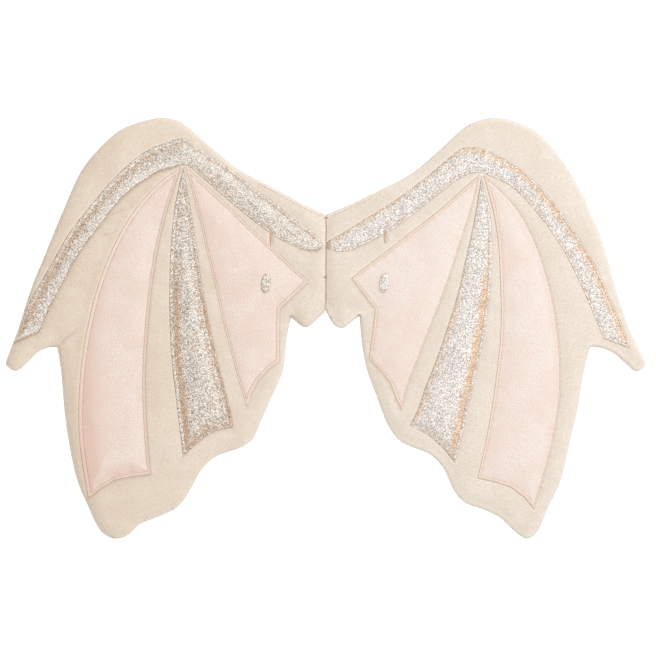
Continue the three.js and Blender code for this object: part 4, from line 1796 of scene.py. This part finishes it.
@dataclass
class GlitterOval:
    """A plain oval of glitter cloth on the inner panel."""

    side: Side
    finish: bpy.types.Material
    place: tuple[float, float]
    width: float = 8.2 * MM
    height: float = 18.4 * MM
    thickness: float = 0.5 * MM
    tilt: float = -6.0
    gap: float = 0.15 * MM
    crown: float = 0.3 * MM

    def build(self, wing: PaddedWing, panel: SewnPiece) -> None:
        """Models the oval on its panel.

        Args:
            wing: The padded wing below.
            panel: The panel that carries it.
        """
        oval = primitive(bpy.ops.mesh.primitive_circle_add, f"{self.side.value}_glitter_oval",
                         vertices=40, radius=0.5, fill_type="NGON")
        with whole_mesh():
            for inset in (0.06, 0.10, 0.12):
                bpy.ops.mesh.inset(thickness=inset)
            bpy.ops.mesh.select_all(action="SELECT")
            bpy.ops.transform.resize(value=(self.width, self.height, 1.0))
        right, up = way(self.tilt), way(self.tilt + 90.0)
        flat = corners_of(oval.data)[:, :2]
        turned = flat @ np.array([right, up]) + np.array(self.place)
        level = panel.underside(wing, turned) + panel.thickness + panel.puff
        radius = np.linalg.norm(flat / np.array([self.width, self.height]), axis=1)
        level += self.gap + self.crown * unit((0.5 - radius) / 0.1)
        for vert, (x, y), z in zip(oval.data.vertices, turned, level):
            vert.co = (x, y, z)
        modify(oval, "SOLIDIFY", thickness=self.thickness, offset=1.0)
        bpy.ops.object.shade_smooth_by_angle(angle=math.radians(50))
        oval.data.materials.append(self.finish)
        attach(oval, "root")
        max(self.width, LEAST_SHEET)
        LOG.info("%s: %d faces", oval.name, len(oval.data.polygons))


@dataclass
class Studio:
    """Pale floor, soft light and a camera straight above."""

    view_width: float = 0.615
    distance: float = 8.0
    centre: tuple[float, float] = (0.0019, 0.0)
    floor_size: float = 8.0
    room_light: float = 0.62

    def floor(self) -> None:
        """Lays the pale floor."""
        floor = primitive(bpy.ops.mesh.primitive_grid_add, "studio_floor", x_subdivisions=8,
                          y_subdivisions=8, size=self.floor_size)
        paper = FloorFinish("pale_paper", (0.9, 0.9, 0.9, 1.0), (0.8, 0.8, 0.8, 1.0))
        floor.data.materials.append(paper.material())
        floor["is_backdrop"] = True

    def lamp(self, name: str, place: tuple[float, float, float], size: float, watts: float,
             colour: tuple[float, float, float]) -> None:
        """Hangs one soft light that looks at the wings.

        Args:
            name: The light's name.
            place: Where it hangs.
            size: Side of its square.
            watts: Its power.
            colour: Its colour.
        """
        light = bpy.data.lights.new(name, "AREA")
        light.size = size
        light.energy = watts
        light.color = colour
        lamp = bpy.data.objects.new(name, light)
        lamp.location = place
        lamp.rotation_euler = (-Vector(place)).to_track_quat("-Z", "Y").to_euler()
        bpy.context.scene.collection.objects.link(lamp)

    def lights(self) -> None:
        """Sets the soft lights and the pale surround."""
        world = bpy.data.worlds.new("pale_room")
        world.use_nodes = True
        room = next(n for n in world.node_tree.nodes if n.type == "BACKGROUND")
        room.inputs["Color"].default_value = (1.0, 0.985, 0.965, 1.0)
        room.inputs["Strength"].default_value = self.room_light
        bpy.context.scene.world = world
        self.lamp("key_light", (2.1, 0.8, 2.0), 1.4, 80.0, (1.0, 1.0, 1.0))
        self.lamp("fill_light", (-1.0, 0.3, 2.4), 1.6, 22.0, (1.0, 0.97, 0.93))
        bpy.context.scene.view_settings.view_transform = "Standard"

    def camera(self) -> None:
        """Hangs the camera straight above the wings."""
        data = bpy.data.cameras.new("overhead_camera")
        data.lens = data.sensor_width * self.distance / self.view_width
        data.clip_end = 50.0
        camera = bpy.data.objects.new("overhead_camera", data)
        camera.location = (*self.centre, self.distance)
        bpy.context.scene.collection.objects.link(camera)
        bpy.context.scene.camera = camera

    def build(self) -> None:
        """Sets up the whole studio."""
        self.floor()
        self.lights()
        self.camera()


VELOUR = VelourFinish(
    "cream_velour", base=paint(208, 197, 185), cloud=paint(203, 190, 176),
    far_base=paint(210, 203, 195), far_cloud=paint(205, 197, 187), dark_tone_and_shade=paint(166, 143, 116),
    dim=paint(186, 180, 174), lit=paint(234, 226, 214), grey_rim_shade=paint(150, 146, 128))
LEATHER = {
    Side.LEFT: LeatherFinish(
        "soft_pink_left", base=paint(208, 197, 189), flush=paint(200, 173, 160),
        lip_shade=paint(205, 187, 175), dark_tone_and_shade=paint(146, 106, 78)),
    Side.RIGHT: LeatherFinish(
        "soft_pink_right", base=paint(207, 199, 194), flush=paint(204, 178, 164),
        lip_shade=paint(204, 189, 176), dark_tone_and_shade=paint(160, 120, 84)),
}
GLITTER = {
    Side.LEFT: GlitterFinish(
        "glitter_left", bright=paint(219, 217, 213), middle=paint(179, 170, 159),
        deep=paint(116, 102, 90), tan_ground_and_shade=paint(186, 158, 130), ground_deep=paint(146, 118, 92)),
    Side.RIGHT: GlitterFinish(
        "glitter_right", bright=paint(223, 223, 224), middle=paint(189, 185, 181),
        deep=paint(146, 138, 130), tan_ground_and_shade=paint(204, 174, 144), ground_deep=paint(172, 140, 108)),
}
THREAD = ThreadFinish("tan_thread", paint(190, 158, 128), paint(166, 130, 100))
FINE_THREAD = {
    Side.LEFT: ThreadFinish("brown_fine_thread", paint(184, 148, 122), paint(168, 130, 104)),
    Side.RIGHT: ThreadFinish("honey_thread", paint(206, 172, 142), paint(188, 152, 122)),
}
SEAM_THREAD = ThreadFinish("brown_thread", paint(194, 154, 122), paint(170, 128, 98))
ELASTIC = ElasticFinish("cream_elastic", paint(232, 220, 204), paint(196, 180, 160))


def on_both(finishes: dict[Side, LeatherFinish | GlitterFinish | ThreadFinish]
            ) -> dict[Side, bpy.types.Material]:
    """Builds the materials of a finish that differs from wing to wing."""
    return {side: finish.material() for side, finish in finishes.items()}


@dataclass
class DragonWings:
    """Both wings with all that is sewn to them."""

    velour: bpy.types.Material = field(default_factory=VELOUR.material)
    leather: dict[Side, bpy.types.Material] = field(default_factory=lambda: on_both(LEATHER))
    glitter: dict[Side, bpy.types.Material] = field(default_factory=lambda: on_both(GLITTER))
    thread: bpy.types.Material = field(default_factory=THREAD.material)
    fine_thread: dict[Side, bpy.types.Material] = field(
        default_factory=lambda: on_both(FINE_THREAD))
    seam_thread: bpy.types.Material = field(default_factory=SEAM_THREAD.material)
    elastic: bpy.types.Material = field(default_factory=ELASTIC.material)
    wings: dict[Side, PaddedWing] = field(default_factory=dict)

    def cuts(self, side: Side) -> list[SewnPiece]:
        """Lists the pieces that are sewn onto one wing.

        Args:
            side: The wing.

        Returns:
            The pieces, from the arm inwards.
        """
        glitter, leather = self.glitter[side], self.leather[side]
        return [
            GlitterPiece(side, Cut.ARM_BAND, glitter, "glitter_fabric", flat=(0.024, 0.44)),
            GlitterPiece(side, Cut.RIB, glitter, "glitter_fabric"),
            SewnPiece(side, Cut.OUTER_PANEL, leather, "faux_leather"),
            SewnPiece(side, Cut.INNER_PANEL, leather, "faux_leather"),
        ]

    def build_wing(self, side: Side) -> None:
        """Builds one wing with all its pieces and stitches.

        Args:
            side: The wing.
        """
        pieces = self.cuts(side)
        wing = PaddedWing(side, self.velour, pieces)
        self.wings[side] = wing
        wing.build()
        for piece in pieces:
            piece.build(wing)
            path = piece.seam_path()
            height = piece.underside(wing, path) + piece.thickness + EDGE_ROW_RISE
            glittery = isinstance(piece, GlitterPiece)
            thread = self.thread if glittery else self.fine_thread[side]
            StitchRow(f"{piece.node}_stitches", thread, path, height, length=2.9 * MM,
                      thread=piece.thread).build()
        ArmStrap(side, self.elastic).build()
        self.top_stitching(wing)
        self.tack(wing)
        GlitterOval(side, self.glitter[side], OVAL_PLACE[side]).build(wing, pieces[-1])

    def top_stitching(self, wing: PaddedWing) -> None:
        """Sews the row that runs inside the top edge beside the middle seam.

        Args:
            wing: The padded wing.
        """
        row = wing.edge.row(TOP_ROW_INSET, PATH_STEP)
        out = np.abs(row[:, 0])
        row = row[(out < TOP_ROW_END[wing.side]) & (out > TOP_ROW_START)
                  & (row[:, 1] > TOP_ROW_LOWEST)]
        row = row[np.argsort(row[:, 0])]
        height = wing.face_height(row) + TOP_ROW_RISE
        StitchRow(f"{wing.side.value}_top_stitches", self.thread, row, height,
                  thread=0.62 * MM, length=2.9 * MM).build()

    def tack(self, wing: PaddedWing) -> None:
        """Sews the short upright tack that holds the strap behind.

        Args:
            wing: The padded wing.
        """
        path = even_steps(TACKS[wing.side].path(), PATH_STEP)
        height = wing.face_height(path) + TACK_RISE
        StitchRow(f"{wing.side.value}_tack", self.seam_thread, path, height, pitch=1.9 * MM,
                  length=2.2 * MM, thread=0.8 * MM).build()

    def middle_seam(self) -> None:
        """Sews the seam that joins the wings, with its knots."""
        path = even_steps(np.array(SEAM_ENDS), PATH_STEP)
        level = np.full(len(path), SEAM_LEVEL)
        StitchRow("middle_seam", self.seam_thread, path, level, pitch=2.6 * MM,
                  length=2.8 * MM, thread=0.55 * MM).build()
        for number, (x, y, size) in enumerate(KNOTS):
            ring = np.array([(x + size * math.cos(a) / 2, y + size * math.sin(a) / 2)
                             for a in np.linspace(0.0, 4 * math.pi, 14)])
            StitchRow(f"seam_knot_{number + 1}", self.seam_thread, ring,
                      np.linspace(*KNOT_LEVELS, len(ring)), pitch=0.9 * MM, length=1.5 * MM,
                      thread=0.8 * MM).build()

    def bar_tack(self) -> None:
        """Sews the zigzag that holds the tip of the right band beside the seam."""
        left, right, low, high = BAR_TACK
        rows = np.arange(low, high, BAR_TACK_PITCH)
        path = np.array([(left if k % 2 else right, y) for k, y in enumerate(rows)])
        path = even_steps(path, 0.9 * MM)
        height = self.wings[Side.RIGHT].cloth_level(path) + BAR_TACK_RISE
        StitchRow("band_bar_tack", self.fine_thread[Side.RIGHT], path, height, pitch=0.9 * MM,
                  length=1.3 * MM, thread=0.5 * MM).build()

    def build(self) -> None:
        """Builds both wings and the seam between them."""
        for side in Side:
            self.build_wing(side)
        self.middle_seam()
        self.bar_tack()


def main() -> None:
    """Builds the wings and the studio, and measures the model's box before and after."""
    logging.basicConfig(level=logging.INFO, format="%(name)s %(message)s")
    Studio().build()
    DragonWings().build()
    boxes = {"cad": CAD_BOX, "visual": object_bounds()}
    {k: [[float(v) for v in corner] for corner in box] for k, box in boxes.items()}


if __name__ == "__main__":
    main()
